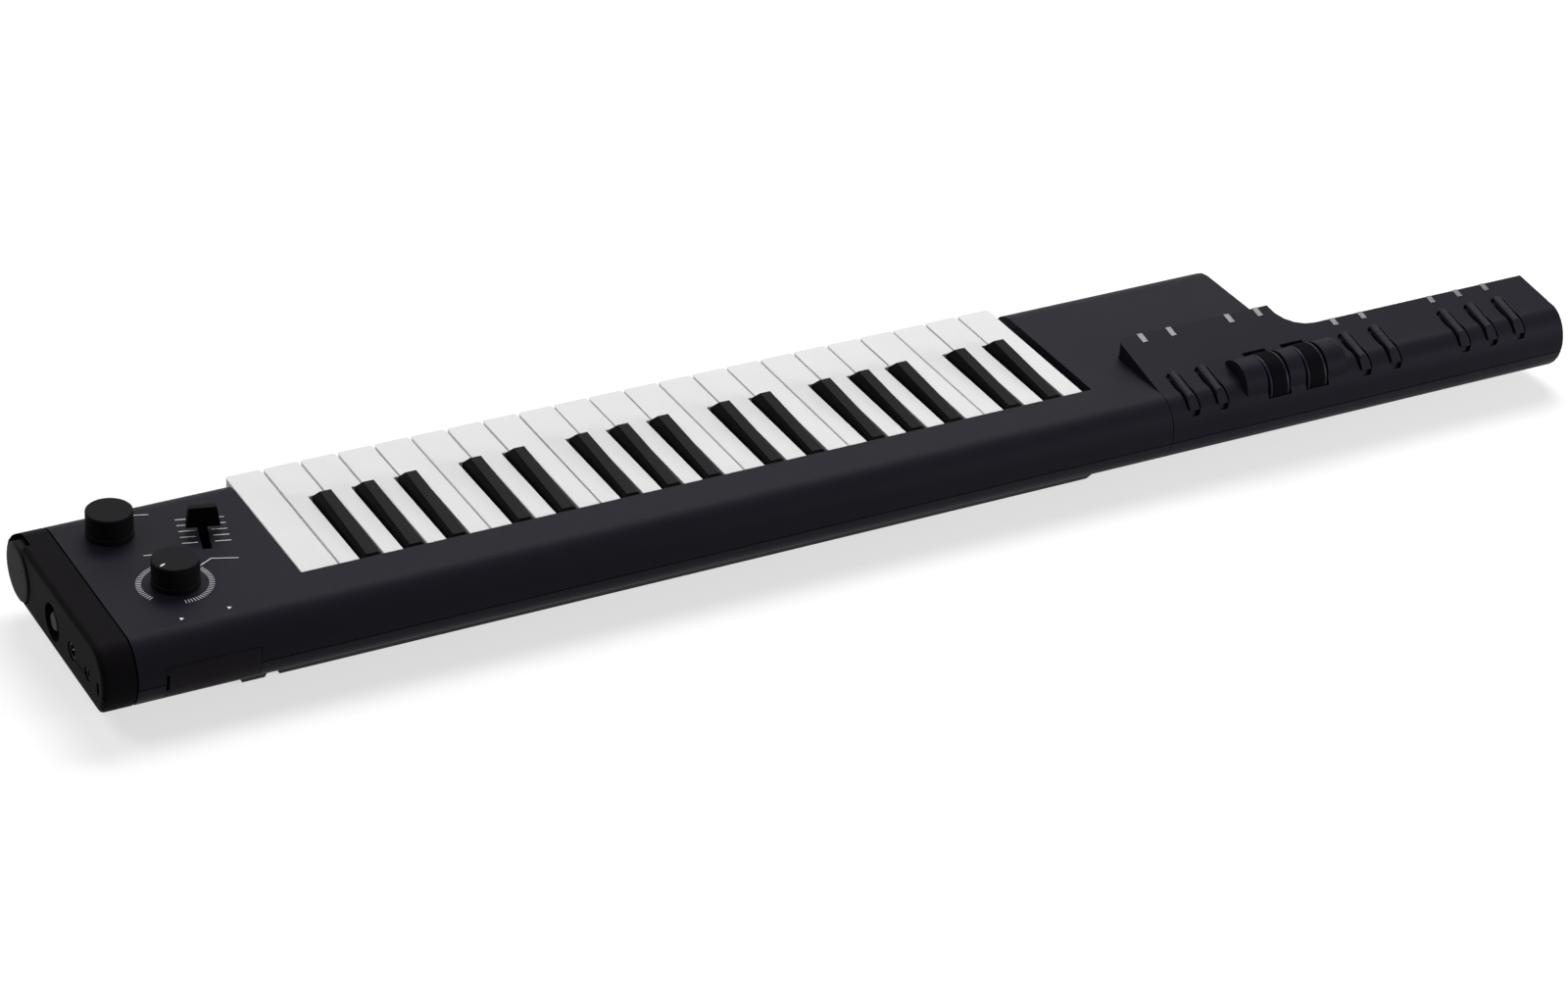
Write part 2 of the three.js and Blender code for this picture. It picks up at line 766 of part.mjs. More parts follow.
// The lower case: floor, tray with its battery well, and the terminal panel behind the flap
function lowerCase() {
  const start = capSeam + seam / 2;
  const high = partingZ - seam / 2;
  const plan = alongZ(bodyPlan(start, 0), bodyBottom - overrun, high);
  const outer = alongX(bodySection(0), start, bodyEnd).intersect(plan);
  const room = alongX(bodySection(wall), start - overrun, bodyEnd - wall)
    .intersect(alongZ(bodyPlan(start - overrun, wall), bodyBottom, high + overrun));
  const tray = trayBlock(0);
  const trayRoom = trayBlock(wall);
  const notchWalls = alongZ(modulePlan(-wall - gap), bodyBottom, high).intersect(outer);
  const notch = alongZ(modulePlan(-gap), bodyBottom - overrun, high + overrun);
  let shell = outer.subtract(room).add(tray).subtract(trayRoom).add(notchWalls).subtract(notch);
  const well = block(doorStart - wellWall, doorEnd + wellWall, doorNear - wellWall, doorFar + wellWall,
    trayBottom + wall / 2, wellTop + wellWall);
  const wellRoom = block(doorStart + wellLip, doorEnd - wellLip, doorNear + wellLip, doorFar - wellLip,
    trayBottom - overrun, wellTop);
  const doorSeat = block(doorStart - gap, doorEnd + gap, doorNear - gap, doorFar + gap,
    trayBottom - overrun, trayBottom + doorThick + gap);
  shell = shell.add(well).subtract(wellRoom).subtract(doorSeat).subtract(doorPinHoles());
  const panelBack = recessY + recessWall;
  const panel = block(flapStart - recessWall, flapEnd + recessWall, recessY, panelBack,
    bodyBottom + wall / 2, flapTop - seam);
  shell = shell.subtract(flapOpening(seam / 2)).add(panel);
  const foot = block(flapStart - seam, flapEnd + seam, bodyNear, panelBack, bodyBottom, flapBottom - seam / 2)
    .intersect(outer);
  const inside = [...recessCheeks(), ...frameRibs(), ...boardStands()];
  return joined([shell, foot, ...inside]).subtract(hostBore()).subtract(serialBore());
}

// Cheeks at both ends of the terminal panel: rooted in the near wall below the parting line and clear of
// the upper case above it
function recessCheeks() {
  const panelBack = recessY + recessWall;
  const high = partingZ - seam / 2;
  const top = flapTop - seam;
  const cheeks = [];
  for (const x of [flapStart - recessWall, flapEnd + seam / 2]) {
    const end = x + recessWall - seam / 2;
    const root = block(x, end, bodyNear, panelBack, bodyBottom + wall / 2, high)
      .intersect(alongX(bodySection(wall / 2), x, end));
    const rise = block(x, end, bodyNear, panelBack, high - overrun, top)
      .intersect(alongX(bodySection(wall + gap), x, end));
    cheeks.push(root.add(rise));
  }
  return cheeks;
}

// Two long ribs that the key frame rests on
function frameRibs() {
  const top = frameFloor - gap;
  const inside = alongX(bodySection(wall / 2), openingStart, openingEnd);
  const ribs = [];
  for (const y of [frameNear + frameRibInset, frameFar - frameRibInset - frameRib]) {
    ribs.push(block(openingStart, openingEnd, y, y + frameRib, bodyBottom, top).intersect(inside));
  }
  return ribs;
}

// Round stands under the corners of the connector board
function boardStands() {
  const stands = [];
  for (const x of [boardStart + standInset, boardEnd - standInset]) {
    for (const y of [boardNear + standInset, boardFar - standInset]) {
      stands.push(rodZ(x, y, bodyBottom + wall / 2, boardTop - boardThick - gap, standRadius, smallSteps));
    }
  }
  return stands;
}

// The drafted block under the body, with a notch across its near edge
function trayBlock(margin) {
  const low = trayBottom + margin;
  const high = bodyBottom + (margin > 0 ? wall + overrun : wall / 2);
  const reach = high - trayBottom;
  const drop = bodyBottom - trayBottom;
  const slope = trayDraft / drop;
  const near = trayNear + margin;
  const far = trayFar - margin;
  const side = [point(near + trayDraft - margin * slope, low), point(far - trayDraft + margin * slope, low),
    point(far - trayDraft + reach * slope, high), point(near + trayDraft - reach * slope, high)];
  const endSlope = trayEndDraft / drop;
  const ends = [point(trayStart + margin + trayEndDraft, low), point(trayEnd - margin - trayEndDraft, low),
    point(trayEnd - margin - trayEndDraft + reach * endSlope, high),
    point(trayStart + margin + trayEndDraft - reach * endSlope, high)];
  const body = alongX(side, trayStart - reach, trayEnd + reach)
    .intersect(alongY(ends, trayNear - reach, trayFar + reach));
  const notchFar = trayNear + trayNotchReach + margin;
  const notch = block(trayNotchStart - margin, trayNotchEnd + margin, trayNear - overrun - reach, notchFar,
    trayBottom - overrun, bodyBottom + margin);
  return body.subtract(notch);
}

// The battery door turns on two pins along its far edge, whose edge is rounded about them
function hingedSheet(x0, x1, near, far, low, thick) {
  const round = thick / 2;
  const flat = block(x0, x1, near, far - round, low, low + thick);
  return flat.add(rodX(x0, x1, far - round, low + round, round, smallSteps));
}

function batteryDoor() {
  const sheet = hingedSheet(doorStart, doorEnd, doorNear, doorFar, trayBottom, doorThick);
  const pins = rodX(doorStart - doorPinReach, doorEnd + doorPinReach, doorFar - doorThick / 2,
    trayBottom + doorThick / 2, doorPin, smallSteps);
  const middle = (doorStart + doorEnd) / 2;
  let door = sheet.add(pins);
  for (let line = 1; line <= gripLines; line += 1) {
    const y = doorNear + line * gripPitch;
    door = door.subtract(block(middle - gripLength / 2, middle + gripLength / 2, y, y + gripWidth,
      trayBottom - overrun, trayBottom + gripDepth));
  }
  return door;
}

function doorPinHoles() {
  return rodX(doorStart - doorPinReach - gap, doorEnd + doorPinReach + gap, doorFar - doorThick / 2,
    trayBottom + doorThick / 2, doorPin + gap, smallSteps);
}

// The terminal flap follows the bullnose; its top edge is rounded about its pins
const flapHingeZ = flapTop - flapThick / 2;
const noseAt = (z, margin) => nearFlatEdge - (noseDepth - margin)
  * Math.sqrt(1 - ((z - noseCentreZ) / (noseHeight - margin)) ** 2);
const flapHingeY = noseAt(flapHingeZ, flapThick / 2);

function terminalFlap() {
  const skin = alongX(bodySection(0), flapStart, flapEnd)
    .subtract(alongX(bodySection(flapThick), flapStart - overrun, flapEnd + overrun));
  const zone = block(flapStart, flapEnd, bodyNear - overrun, recessY, flapBottom, flapHingeZ);
  const edge = rodX(flapStart, flapEnd, flapHingeY, flapHingeZ, flapThick / 2, smallSteps);
  const pins = rodX(flapStart - flapPinReach, flapEnd + flapPinReach, flapHingeY, flapHingeZ, flapPin,
    smallSteps);
  const notch = block(flapStart - overrun, flapStart + flapNotchWidth, bodyNear - overrun, recessY,
    flapNotchBottom, flapNotchTop);
  return skin.intersect(zone).add(edge).add(pins).subtract(notch);
}

function flapPinHoles() {
  return rodX(flapStart - flapPinReach - gap, flapEnd + flapPinReach + gap, flapHingeY, flapHingeZ,
    flapPin + gap, smallSteps);
}

function hostBore() {
  return block(hostX - hostWidth / 2 - gap, hostX + hostWidth / 2 + gap, recessY - overrun,
    recessY + recessWall + overrun, hostZ - hostHeight / 2 - overrun - gap, hostZ + hostHeight / 2 + gap);
}

function serialBore() {
  return rodY(serialX, recessY - overrun, recessY + recessWall + overrun, serialZ, serialRadius + gap,
    jackSteps);
}

// The end cap: a shell-like block with a rounded end face, the dial's seat, a dish and three sockets
function capBody() {
  const edge = arc(capEdge, capEdge, capEdge, capEdge, Math.PI, Math.PI * 1.5, heelSteps);
  const rings = edge.map((corner) => ({ x: corner.x, outline: bodySection(corner.y) }));
  rings.push({ x: capSeam - seam / 2, outline: bodySection(0) });
  return lofted(rings);
}

function endCap() {
  const dialFloor = dialThick - dialProud + gap;
  const rim = alongX(bodySection(wall), capSkin, capSeam + overrun);
  const seat = rodX(-overrun, dialFloor, dialY, dialZ, dialRadius + dialSide, knobSteps);
  const scoop = rodX(-overrun, scoopDepth, scoopY, scoopZ, scoopRadius, roundSteps);
  const hub = rodX(0, dialFloor + dialHubReach, dialY, dialZ, dialHub + gap, smallSteps);
  const line = jackBore(lineJackY, lineJackZ, lineJackRim + gap);
  const phones = jackBore(phonesJackY, phonesJackZ, phonesJackRim + gap);
  const power = block(-overrun, powerDepth, powerY - powerWidth / 2, powerY + powerWidth / 2,
    powerZ - powerHeight / 2, powerZ + powerHeight / 2);
  const pin = rodX(powerDepth / 2, powerDepth + overrun, powerY, powerZ, powerPin, smallSteps);
  const holes = [rim, seat, scoop, hub, pegDish(0, 1, pegDishY, pegDishZ), line, phones, power];
  const carved = holes.reduce((sum, next) => sum.subtract(next), capBody());
  return joined([carved, strapPeg(0, 1, pegDishY, pegDishZ), pin, powerBoss()]);
}

// The thick corner behind the power socket, as deep as the cap
function powerBoss() {
  const boss = block(capSkin - overrun, capSeam, bodyNear, powerY + powerBossReach, powerZ - powerBossHalf,
    powerZ + powerBossHalf);
  return boss.intersect(capBody());
}

// A round dish sunk into an end face, facing along X by the sign of its direction
function pegDish(face, direction, y, z) {
  const bowl = pegDishDepth / 2;
  const profile = [
    point(0, -overrun),
    point(pegDishRadius, -overrun),
    ...arc(pegDishRadius - bowl, pegDishDepth - bowl, bowl, bowl, 0, Math.PI / 2, cornerSteps),
    point(0, pegDishDepth),
  ];
  const geometry = turned(profile, roundSteps);
  geometry.rotateY(direction * Math.PI / 2);
  geometry.translate(face, y, z);
  return solidOf(geometry);
}

function jackBore(y, z, radius) {
  return rodX(-overrun, capSkin + overrun, y, z, radius, jackSteps);
}

// A peg that the strap buttons onto, rooted in the floor of its dish
function strapPeg(face, direction, y, z) {
  const floor = pegDishDepth;
  const profile = [
    point(0, pegSink),
    point(pegHead - pegEdge, pegSink),
    point(pegHead, pegSink + pegEdge),
    point(pegHead, pegSink + pegHeadThick),
    point(pegNeck, pegSink + pegHeadThick + pegEdge),
    point(pegNeck, floor - pegFootThick - pegEdge),
    point(pegFoot, floor - pegFootThick),
    point(pegFoot, floor + overrun),
    point(0, floor + overrun),
  ];
  const geometry = turned(profile, jackSteps);
  geometry.rotateY(direction * Math.PI / 2);
  geometry.translate(face, y, z);
  return solidOf(geometry);
}

// A jack on the board: a round barrel that reaches into the end face and a square body behind it
function boardJack(y, z, rim, bore) {
  const barrel = rodX(jackRimDepth, boardStart + overrun, y, z, rim, jackSteps);
  const body = block(boardStart, boardStart + jackBody, y - jackBodySide, y + jackBodySide,
    boardTop - overrun, z + rim);
  return barrel.add(body).subtract(rodX(0, boardStart + jackBody - wall, y, z, bore, jackSteps));
}

const hostZ = boardTop + hostHeight / 2;
const serialZ = boardTop + serialRadius - socketWall;

function hostSocket() {
  const outer = block(hostX - hostWidth / 2, hostX + hostWidth / 2, recessY, recessY + socketDepth,
    hostZ - hostHeight / 2 - overrun, hostZ + hostHeight / 2);
  const halfWidth = hostWidth / 2 - socketWall;
  const halfHeight = hostHeight / 2 - socketWall;
  const inner = block(hostX - halfWidth, hostX + halfWidth, recessY - overrun,
    recessY + socketDepth - wall, hostZ - halfHeight, hostZ + halfHeight);
  return outer.subtract(inner);
}

function serialSocket() {
  const barrel = rodY(serialX, recessY, recessY + socketDepth, serialZ, serialRadius, jackSteps);
  return barrel.subtract(rodY(serialX, recessY - overrun, recessY + socketDepth - wall, serialZ,
    serialRadius - serialWall, jackSteps));
}

function connectorBoard() {
  const board = block(boardStart, boardEnd, boardNear, boardFar, boardTop - boardThick, boardTop);
  return joined([
    board,
    boardJack(lineJackY, lineJackZ, lineJackRim, lineJackBore),
    boardJack(phonesJackY, phonesJackZ, phonesJackRim, phonesJackBore),
    hostSocket(),
    serialSocket(),
  ]);
}

// The volume dial: a thick disc on a hub, its rim bare where it passes the cap's far side
function volumeDial() {
  const inner = dialThick - dialProud;
  const profile = [
    point(0, -dialProud),
    point(dialRadius - dialEdge, -dialProud),
    point(dialRadius, dialEdge - dialProud),
    point(dialRadius, inner - dialEdge),
    point(dialRadius - dialEdge, inner),
    point(dialHub, inner),
    point(dialHub, inner + dialHubReach),
    point(0, inner + dialHubReach),
  ];
  const geometry = turned(profile, knobSteps);
  geometry.rotateY(Math.PI / 2);
  geometry.translate(0, dialY, dialZ);
  return solidOf(geometry);
}

// A panel knob: skirt, groove, barrel with a small edge, and a shaft through the panel
function panelKnob(x, y) {
  const base = bodyTop + gap;
  const skirtTop = base + knobSkirt;
  const top = bodyTop + knobHeight;
  const profile = [
    point(0, -knobShaftDrop),
    point(knobShaft, -knobShaftDrop),
    point(knobShaft, base),
    point(knobSkirtRadius, base),
    point(knobSkirtRadius, skirtTop),
    point(knobRadius - knobGroove, skirtTop),
    point(knobRadius - knobGroove, skirtTop + knobGroove),
    point(knobRadius, skirtTop + knobGroove + knobEdge),
    point(knobRadius, top - knobEdge),
    point(knobRadius - knobEdge, top),
    point(0, top),
  ];
  const geometry = turned(profile, knobSteps);
  geometry.translate(x, y, 0);
  return solidOf(geometry);
}

// The lever: a tapered finger cap on a flat stem that turns on an axle below the panel
function effectLever() {
  const pivot = bodyTop - leverPivotDrop;
  const capLow = bodyTop + leverLift;
  const capHigh = bodyTop + leverCapTop;
  const corners = [];
  for (const sideX of [-1, 1]) {
    for (const sideY of [-1, 1]) {
      corners.push(new THREE.Vector3(sideX * leverCapBaseWidth / 2, sideY * leverCapBaseDepth / 2, capLow));
      corners.push(new THREE.Vector3(sideX * leverCapTopWidth / 2, sideY * leverCapTopDepth / 2, capHigh));
    }
  }
  const cap = solidOf(new ConvexGeometry(corners));
  const stem = block(-leverStemWidth / 2, leverStemWidth / 2, -leverStemDepth / 2, leverStemDepth / 2, pivot,
    capLow + leverCapTop / 2);
  const hub = rodX(-leverStemWidth / 2, leverStemWidth / 2, 0, pivot, leverHub, smallSteps);
  const reach = leverStemWidth / 2 + leverEarSide + leverAxleReach;
  const axle = rodX(-reach, reach, 0, pivot, leverAxle, smallSteps);
  return moved(joined([cap, stem, hub, axle]), leverPlace);
}

// The cowl over the wheels, drawn in by a margin
function cowl(margin) {
  return rodX(cowlStart + margin, cowlEnd - margin, cowlY, cowlZ, cowlRadius - margin, cowlSteps);
}

// A prism square to the sloping panel, from outlines in X and the height over the panel
function acrossPanel(outline, y0, y1) {
  const solid = alongY(outline, y0, y1);
  const slope = new THREE.Matrix4().makeRotationX(panelAngle);
  const lift = new THREE.Matrix4().makeTranslation(0, 0, panelAtZero);
  return moved(solid, lift.multiply(slope));
}

// The bar of a neck button seen from the end of the neck, down to the level of its toe
function buttonProfile() {
  return [point(buttonFar, buttonToeZ), point(buttonFar, panelZ(buttonFar) + panelProudStep(buttonProud)),
    point(buttonBendY, buttonBendZ), point(buttonToeY, buttonToeZ)];
}

const panelProudStep = (height) => height / Math.cos(panelAngle);

function neckButton(x) {
  const half = buttonWidth / 2;
  const roundZ = buttonProud - buttonRound;
  const section = [
    point(-half, -bodyDepth),
    point(half, -bodyDepth),
    ...arc(half - buttonRound, roundZ, buttonRound, buttonRound, 0, Math.PI / 2, cornerSteps),
    ...arc(buttonRound - half, roundZ, buttonRound, buttonRound, Math.PI / 2, Math.PI, cornerSteps),
  ];
  const farEnd = arc(0, buttonFar - half / 2, half, half / 2, 0, Math.PI, endSteps);
  const plan = alongZ([...farEnd, point(-half, bodyNear), point(half, bodyNear)], bodyBottom, moduleFar);
  const surface = alongX(neckSection(buttonSunk), -buttonWidth, buttonWidth);
  const bar = alongX(buttonProfile(), -half, half).subtract(surface);
  const rounded = bar.intersect(acrossPanel(section, bodyNear - bodyDepth, moduleFar)).intersect(plan);
  const stem = block(-stemWidth / 2, stemWidth / 2, stemY - stemLength / 2, stemY + stemLength / 2,
    panelZ(stemY) - stemDrop, panelZ(stemY) + buttonProud / 2);
  return moved(rounded.add(stem), new THREE.Matrix4().makeTranslation(x, 0, 0));
}

// The recess round a neck button: sunk into the panel and nose by the pocket's depth, round at both ends
function buttonPocket(x) {
  const half = buttonWidth / 2 + buttonSide;
  const far = buttonFar + buttonSide;
  const farEnd = arc(x, far - half / 2, half, half / 2, 0, Math.PI, endSteps);
  const nearEnd = arc(x, pocketNear + half / 2, half, half / 2, Math.PI, Math.PI * 2, endSteps);
  const plan = alongZ([...farEnd, ...nearEnd], bodyBottom, moduleFar);
  const skinSolid = alongX(neckSection(pocketDepth), x - half - overrun, x + half + overrun);
  const stemHole = block(x - stemWidth / 2 - gap, x + stemWidth / 2 + gap, stemY - stemLength / 2 - gap,
    stemY + stemLength / 2 + gap + buttonTravel * Math.sin(panelAngle), panelZ(stemY) - stemDrop, moduleFar);
  return plan.subtract(skinSolid).add(stemHole);
}

function wheelSlot(x) {
  const half = slotWidth / 2;
  const round = rodX(x - half, x + half, wheelY, wheelZ, wheelRadius + wheelGap, cowlSteps);
  const farEnd = block(x - half, x + half, wheelY, slotFar, wheelZ, panelZ(slotFar) + overrun);
  return round.add(farEnd);
}

// Two ribs with bores, one on each side of a wheel's slot
function wheelBearings(x) {
  const parts = [];
  for (const side of [-1, 1]) {
    const edge = x + side * slotWidth / 2;
    const x0 = Math.min(edge, edge + side * bearingWall);
    const x1 = x0 + bearingWall;
    const rib = block(x0, x1, wheelY - bearingRadius, wheelY + bearingRadius, wheelZ, wheelZ + bearingRise);
    const eye = rodX(x0, x1, wheelY, wheelZ, bearingRadius, smallSteps);
    const bore = rodX(x0 - overrun, x1 + overrun, wheelY, wheelZ, axleRadius + gap, smallSteps);
    parts.push(rib.add(eye).subtract(bore));
  }
  return joined(parts);
}

// A lens or, with a margin, the notch that it sits in
function lens(x, far, length, margin) {
  const half = lensWidth / 2 + margin;
  const proud = margin > 0 ? overrun : 0;
  const low = railTopAt(far) - guideRailThick - margin;
  return block(x - half, x + half, far - length - margin, far + proud, low, panelZ(far) + lensProud + proud);
}

function everyLens(margin) {
  const onModule = moduleLenses.map((x) => lens(x, moduleFar, moduleLensLength, margin));
  const onNeck = neckLenses.map((x) => lens(x, neckFar, neckLensLength, margin));
  return [...onModule, ...onNeck];
}

// The light guide's rails run just under the shell, inside its far walls
const railFarAt = (far) => far - neckWall - gap;
const railTopAt = (far) => panelZ(railFarAt(far) - guideRailWidth) - panelProudStep(neckWall) - gap;

function guideRail(x0, x1, far) {
  const rail = railFarAt(far);
  return block(x0, x1, rail - guideRailWidth, rail, railTopAt(far) - guideRailThick, railTopAt(far));
}

// Nine lenses on one clear light guide, which crosses from the module's far wall to the neck's
function statusLenses() {
  const surface = alongX(neckSection(-lensProud), moduleSeam, neckEnd);
  const moduleEnd = moduleLenses[moduleLenses.length - 1];
  const crossing = moduleEnd - crossingInset;
  const crossingEnd = crossing + guideRailWidth;
  const low = railTopAt(neckFar) - guideRailThick;
  const parts = [
    guideRail(moduleLenses[0], moduleEnd, moduleFar),
    guideRail(crossing, neckLenses[neckLenses.length - 1], neckFar),
    block(crossing, crossingEnd, railFarAt(neckFar) - guideRailWidth, railFarAt(moduleFar), low,
      railTopAt(neckFar)),
    block(crossing, crossingEnd, railFarAt(moduleFar) - guideRailWidth, railFarAt(moduleFar), low,
      railTopAt(moduleFar)),
  ];
  return joined([...everyLens(0), ...parts]).intersect(surface);
}

function aboveParting(low) {
  return block(cowlStart - overrun, cowlEnd + overrun, bodyNear - overrun, moduleFar, low, cowlRadius + wall);
}

// The upper shell of the module and neck, with pockets, slots, cowl and lens notches
function neckUpper() {
  const low = partingZ + seam / 2;
  const high = panelZ(moduleFar) + cowlRadius;
  const outer = alongX(neckSection(0), moduleSeam, neckEnd)
    .intersect(alongZ(modulePlan(0), low, high))
    .add(cowl(0).intersect(aboveParting(low)));
  const room = alongX(neckSection(neckWall), moduleSeam, neckEnd)
    .intersect(alongZ(modulePlan(neckWall), low - overrun, high))
    .add(cowl(wall).intersect(aboveParting(low)));
  let shell = outer.subtract(room);
  const bearings = joined(wheelPlaces.map(wheelBearings)).intersect(outer);
  shell = shell.add(bearings);
  for (const x of wheelPlaces) shell = shell.subtract(wheelSlot(x));
  for (const x of buttonPlaces) shell = shell.subtract(buttonPocket(x));
  for (const notch of everyLens(gap)) shell = shell.subtract(notch);
  return shell.add(neckPegBlock()).subtract(pegDish(neckEnd, -1, neckPegY, neckPegZ))
    .add(strapPeg(neckEnd, -1, neckPegY, neckPegZ));
}

// The lower shell of the neck, with a rounded back edge
function neckLower() {
  const high = partingZ - seam / 2;
  const outer = alongX(neckSection(0), moduleSeam, neckEnd)
    .intersect(alongZ(modulePlan(0), bodyBottom, high));
  const room = alongX(neckSection(neckWall), moduleSeam, neckEnd)
    .intersect(alongZ(modulePlan(neckWall), bodyBottom + neckWall, high + overrun));
  return outer.subtract(room);
}

// Material behind the peg's dish at the end of the neck
function neckPegBlock() {
  const reach = pegDishDepth + wall;
  const solid = alongX(neckSection(0), neckEnd - reach, neckEnd);
  return solid.intersect(alongZ(modulePlan(0), partingZ + seam / 2, moduleFar));
}

// A finger wheel: side rims, a sunk band between them and an axle
function fingerWheel(x) {
  const half = wheelWidth / 2;
  const reach = slotWidth / 2 + axleReach;
  const rim = wheelRadius - wheelRimDrop;
  const band = half - wheelRim - wheelGroove;
  const halfProfile = [
    point(axleRadius, half),
    point(rim - wheelEdge, half),
    point(rim, half - wheelEdge),
    point(rim, half - wheelRim),
    point(rim - wheelGroove, half - wheelRim),
    point(rim - wheelGroove, band),
    point(wheelRadius, band),
  ];
  const mirrored = halfProfile.map((corner) => point(corner.x, -corner.y));
  const profile = [
    point(0, -reach),
    point(axleRadius, -reach),
    ...mirrored,
    ...halfProfile.reverse(),
    point(axleRadius, reach),
    point(0, reach),
  ];
  const geometry = turned(profile, wheelSteps);
  geometry.rotateY(Math.PI / 2);
  geometry.translate(x, wheelY, wheelZ);
  return solidOf(geometry);
}

// Assembly
const keytar = new THREE.Group();
const middleX = (neckEnd - dialProud) / 2;
const middleY = (bodyNear + bodyFar) / 2;
keytar.position.set(-middleX, -middleY, -trayBottom);

function place(name, solid, finish) {
  const material = new THREE.MeshStandardMaterial(finishes[finish]);
  const mesh = new THREE.Mesh(geometryOf(solid), material);
  mesh.name = name;
  keytar.add(mesh);
}

place('upper_case', upperCase(), 'body');
place('lower_case', lowerCase(), 'body');
place('end_cap', endCap(), 'cap');
place('neck_upper', neckUpper(), 'body');
place('neck_lower', neckLower(), 'body');
place('key_frame', keyFrame(), 'frame');
place('status_lenses', statusLenses(), 'lens');
place('connector_board', connectorBoard(), 'board');
place('terminal_flap', terminalFlap(), 'cap');
place('battery_door', batteryDoor(), 'body');
place('volume_dial', volumeDial(), 'knob');
place('select_knob', panelKnob(selectX, selectY), 'knob');
place('effect_knob', panelKnob(effectX, effectY), 'knob');
place('effect_lever', effectLever(), 'knob');
wheelPlaces.forEach((x, index) => place(`finger_wheel_${index + 1}`, fingerWheel(x), 'rubber'));
buttonPlaces.forEach((x, index) => place(`neck_button_${index + 1}`, neckButton(x), 'body'));
for (let index = 0; index < whiteCount; index += 1) {
  place(`white_key_${keyNote(index)}${keyOctave(index)}`, whiteKey(index), 'white');
  if (blackCentre(index) !== null) {
    const lower = octaveNotes[(index + 1) % octaveNotes.length];
    place(`black_key_${lower}_sharp${keyOctave(index + 1)}`, blackKey(index), 'black');
  }
}

export default keytar;
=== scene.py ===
# %% [markdown]
# # A strap-on keyboard with a control neck
#
# The imported CAD model is the frame of this scene: it fixes where each piece is, how large it is and what
# it turns on. Everything here adds looks to it. CAD solids are stood in for by a welded and softened copy,
# or by a piece modelled again with finer detail.

# %% Load the frame
import json
import math

import bmesh
import bpy
from mathutils import Matrix, Vector


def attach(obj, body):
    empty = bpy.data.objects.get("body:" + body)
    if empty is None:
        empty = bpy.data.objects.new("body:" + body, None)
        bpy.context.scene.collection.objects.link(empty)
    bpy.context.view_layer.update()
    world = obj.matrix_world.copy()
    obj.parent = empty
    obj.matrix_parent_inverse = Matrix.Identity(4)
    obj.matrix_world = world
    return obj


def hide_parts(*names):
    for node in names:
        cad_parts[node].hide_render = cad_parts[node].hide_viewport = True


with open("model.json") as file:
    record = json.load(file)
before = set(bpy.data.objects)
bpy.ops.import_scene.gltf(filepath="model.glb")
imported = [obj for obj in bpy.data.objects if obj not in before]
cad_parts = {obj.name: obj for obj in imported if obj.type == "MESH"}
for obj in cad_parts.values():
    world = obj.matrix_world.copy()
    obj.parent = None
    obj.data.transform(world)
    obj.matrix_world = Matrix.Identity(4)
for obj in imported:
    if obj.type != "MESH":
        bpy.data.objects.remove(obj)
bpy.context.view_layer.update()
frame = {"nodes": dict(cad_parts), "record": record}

# %% [markdown]
# The instrument is easiest to describe from three edges of its own: along it from the end cap's face,
# across it from the edge of the panel where the keys come out, and up from the tops of the white keys.
# One function turns such a place, in millimetres, into the frame's metres, and another turns a length.

# %% Places and lengths
MIDDLE_X, MIDDLE_Y, UNDERSIDE = 440.0, 34.65, -46.5
PANEL_TOP = 1.0


def mm(length):
    """A length in millimetres, in metres."""
    return length * 0.001


def at(x, y, z):
    """A place counted from the end face, the key opening's edge and the key tops, in the frame."""
    return Vector((mm(x - MIDDLE_X), mm(y - MIDDLE_Y), mm(z - UNDERSIDE)))


body_of_node = {
    node: body for body, nodes in frame["record"]["behaviour"]["bodies"].items() for node in nodes
}

# %% [markdown]
# The photograph was taken with a long lens from the end cap's side, about thirty degrees above the
# table. The camera's place was fitted to the straight edges of the body and to the even row of keys,
# so the render and the photograph can be laid over each other.

# %% Camera
CAMERA_PLACE = Vector((-1.0307, -1.7393, 1.1996))
CAMERA_AZIMUTH = math.radians(-30.01)
CAMERA_ELEVATION = math.radians(30.78)
CAMERA_ROLL = math.radians(3.24)
FOCAL_LENGTH_MM = 99.374
SENSOR_MM = 36.0
FARTHEST = 50.0

lens = bpy.data.cameras.new("camera")
lens.sensor_fit = "HORIZONTAL"
lens.sensor_width = SENSOR_MM
lens.lens = FOCAL_LENGTH_MM
lens.clip_end = FARTHEST
camera = bpy.data.objects.new("camera", lens)
bpy.context.scene.collection.objects.link(camera)

backward = Vector((
    math.sin(CAMERA_AZIMUTH) * math.cos(CAMERA_ELEVATION),
    -math.cos(CAMERA_AZIMUTH) * math.cos(CAMERA_ELEVATION),
    math.sin(CAMERA_ELEVATION),
))
level = Vector((math.cos(CAMERA_AZIMUTH), math.sin(CAMERA_AZIMUTH), 0.0))
upright = backward.cross(level)
right = math.cos(CAMERA_ROLL) * level + math.sin(CAMERA_ROLL) * upright
up = math.cos(CAMERA_ROLL) * upright - math.sin(CAMERA_ROLL) * level
turn = Matrix((right, up, backward)).transposed().to_4x4()
camera.matrix_world = Matrix.Translation(CAMERA_PLACE) @ turn
bpy.context.scene.camera = camera
print("camera looks along", [round(v, 3) for v in -backward])

# %% [markdown]
# A finish is a small graph of nodes. Writing one out in full is long, so one function adds a node of
# any kind, gives it its settings and fills its inputs, either with a plain value or with a link from
# another node. Colours are written as the hex values that a screen shows and are made linear here.


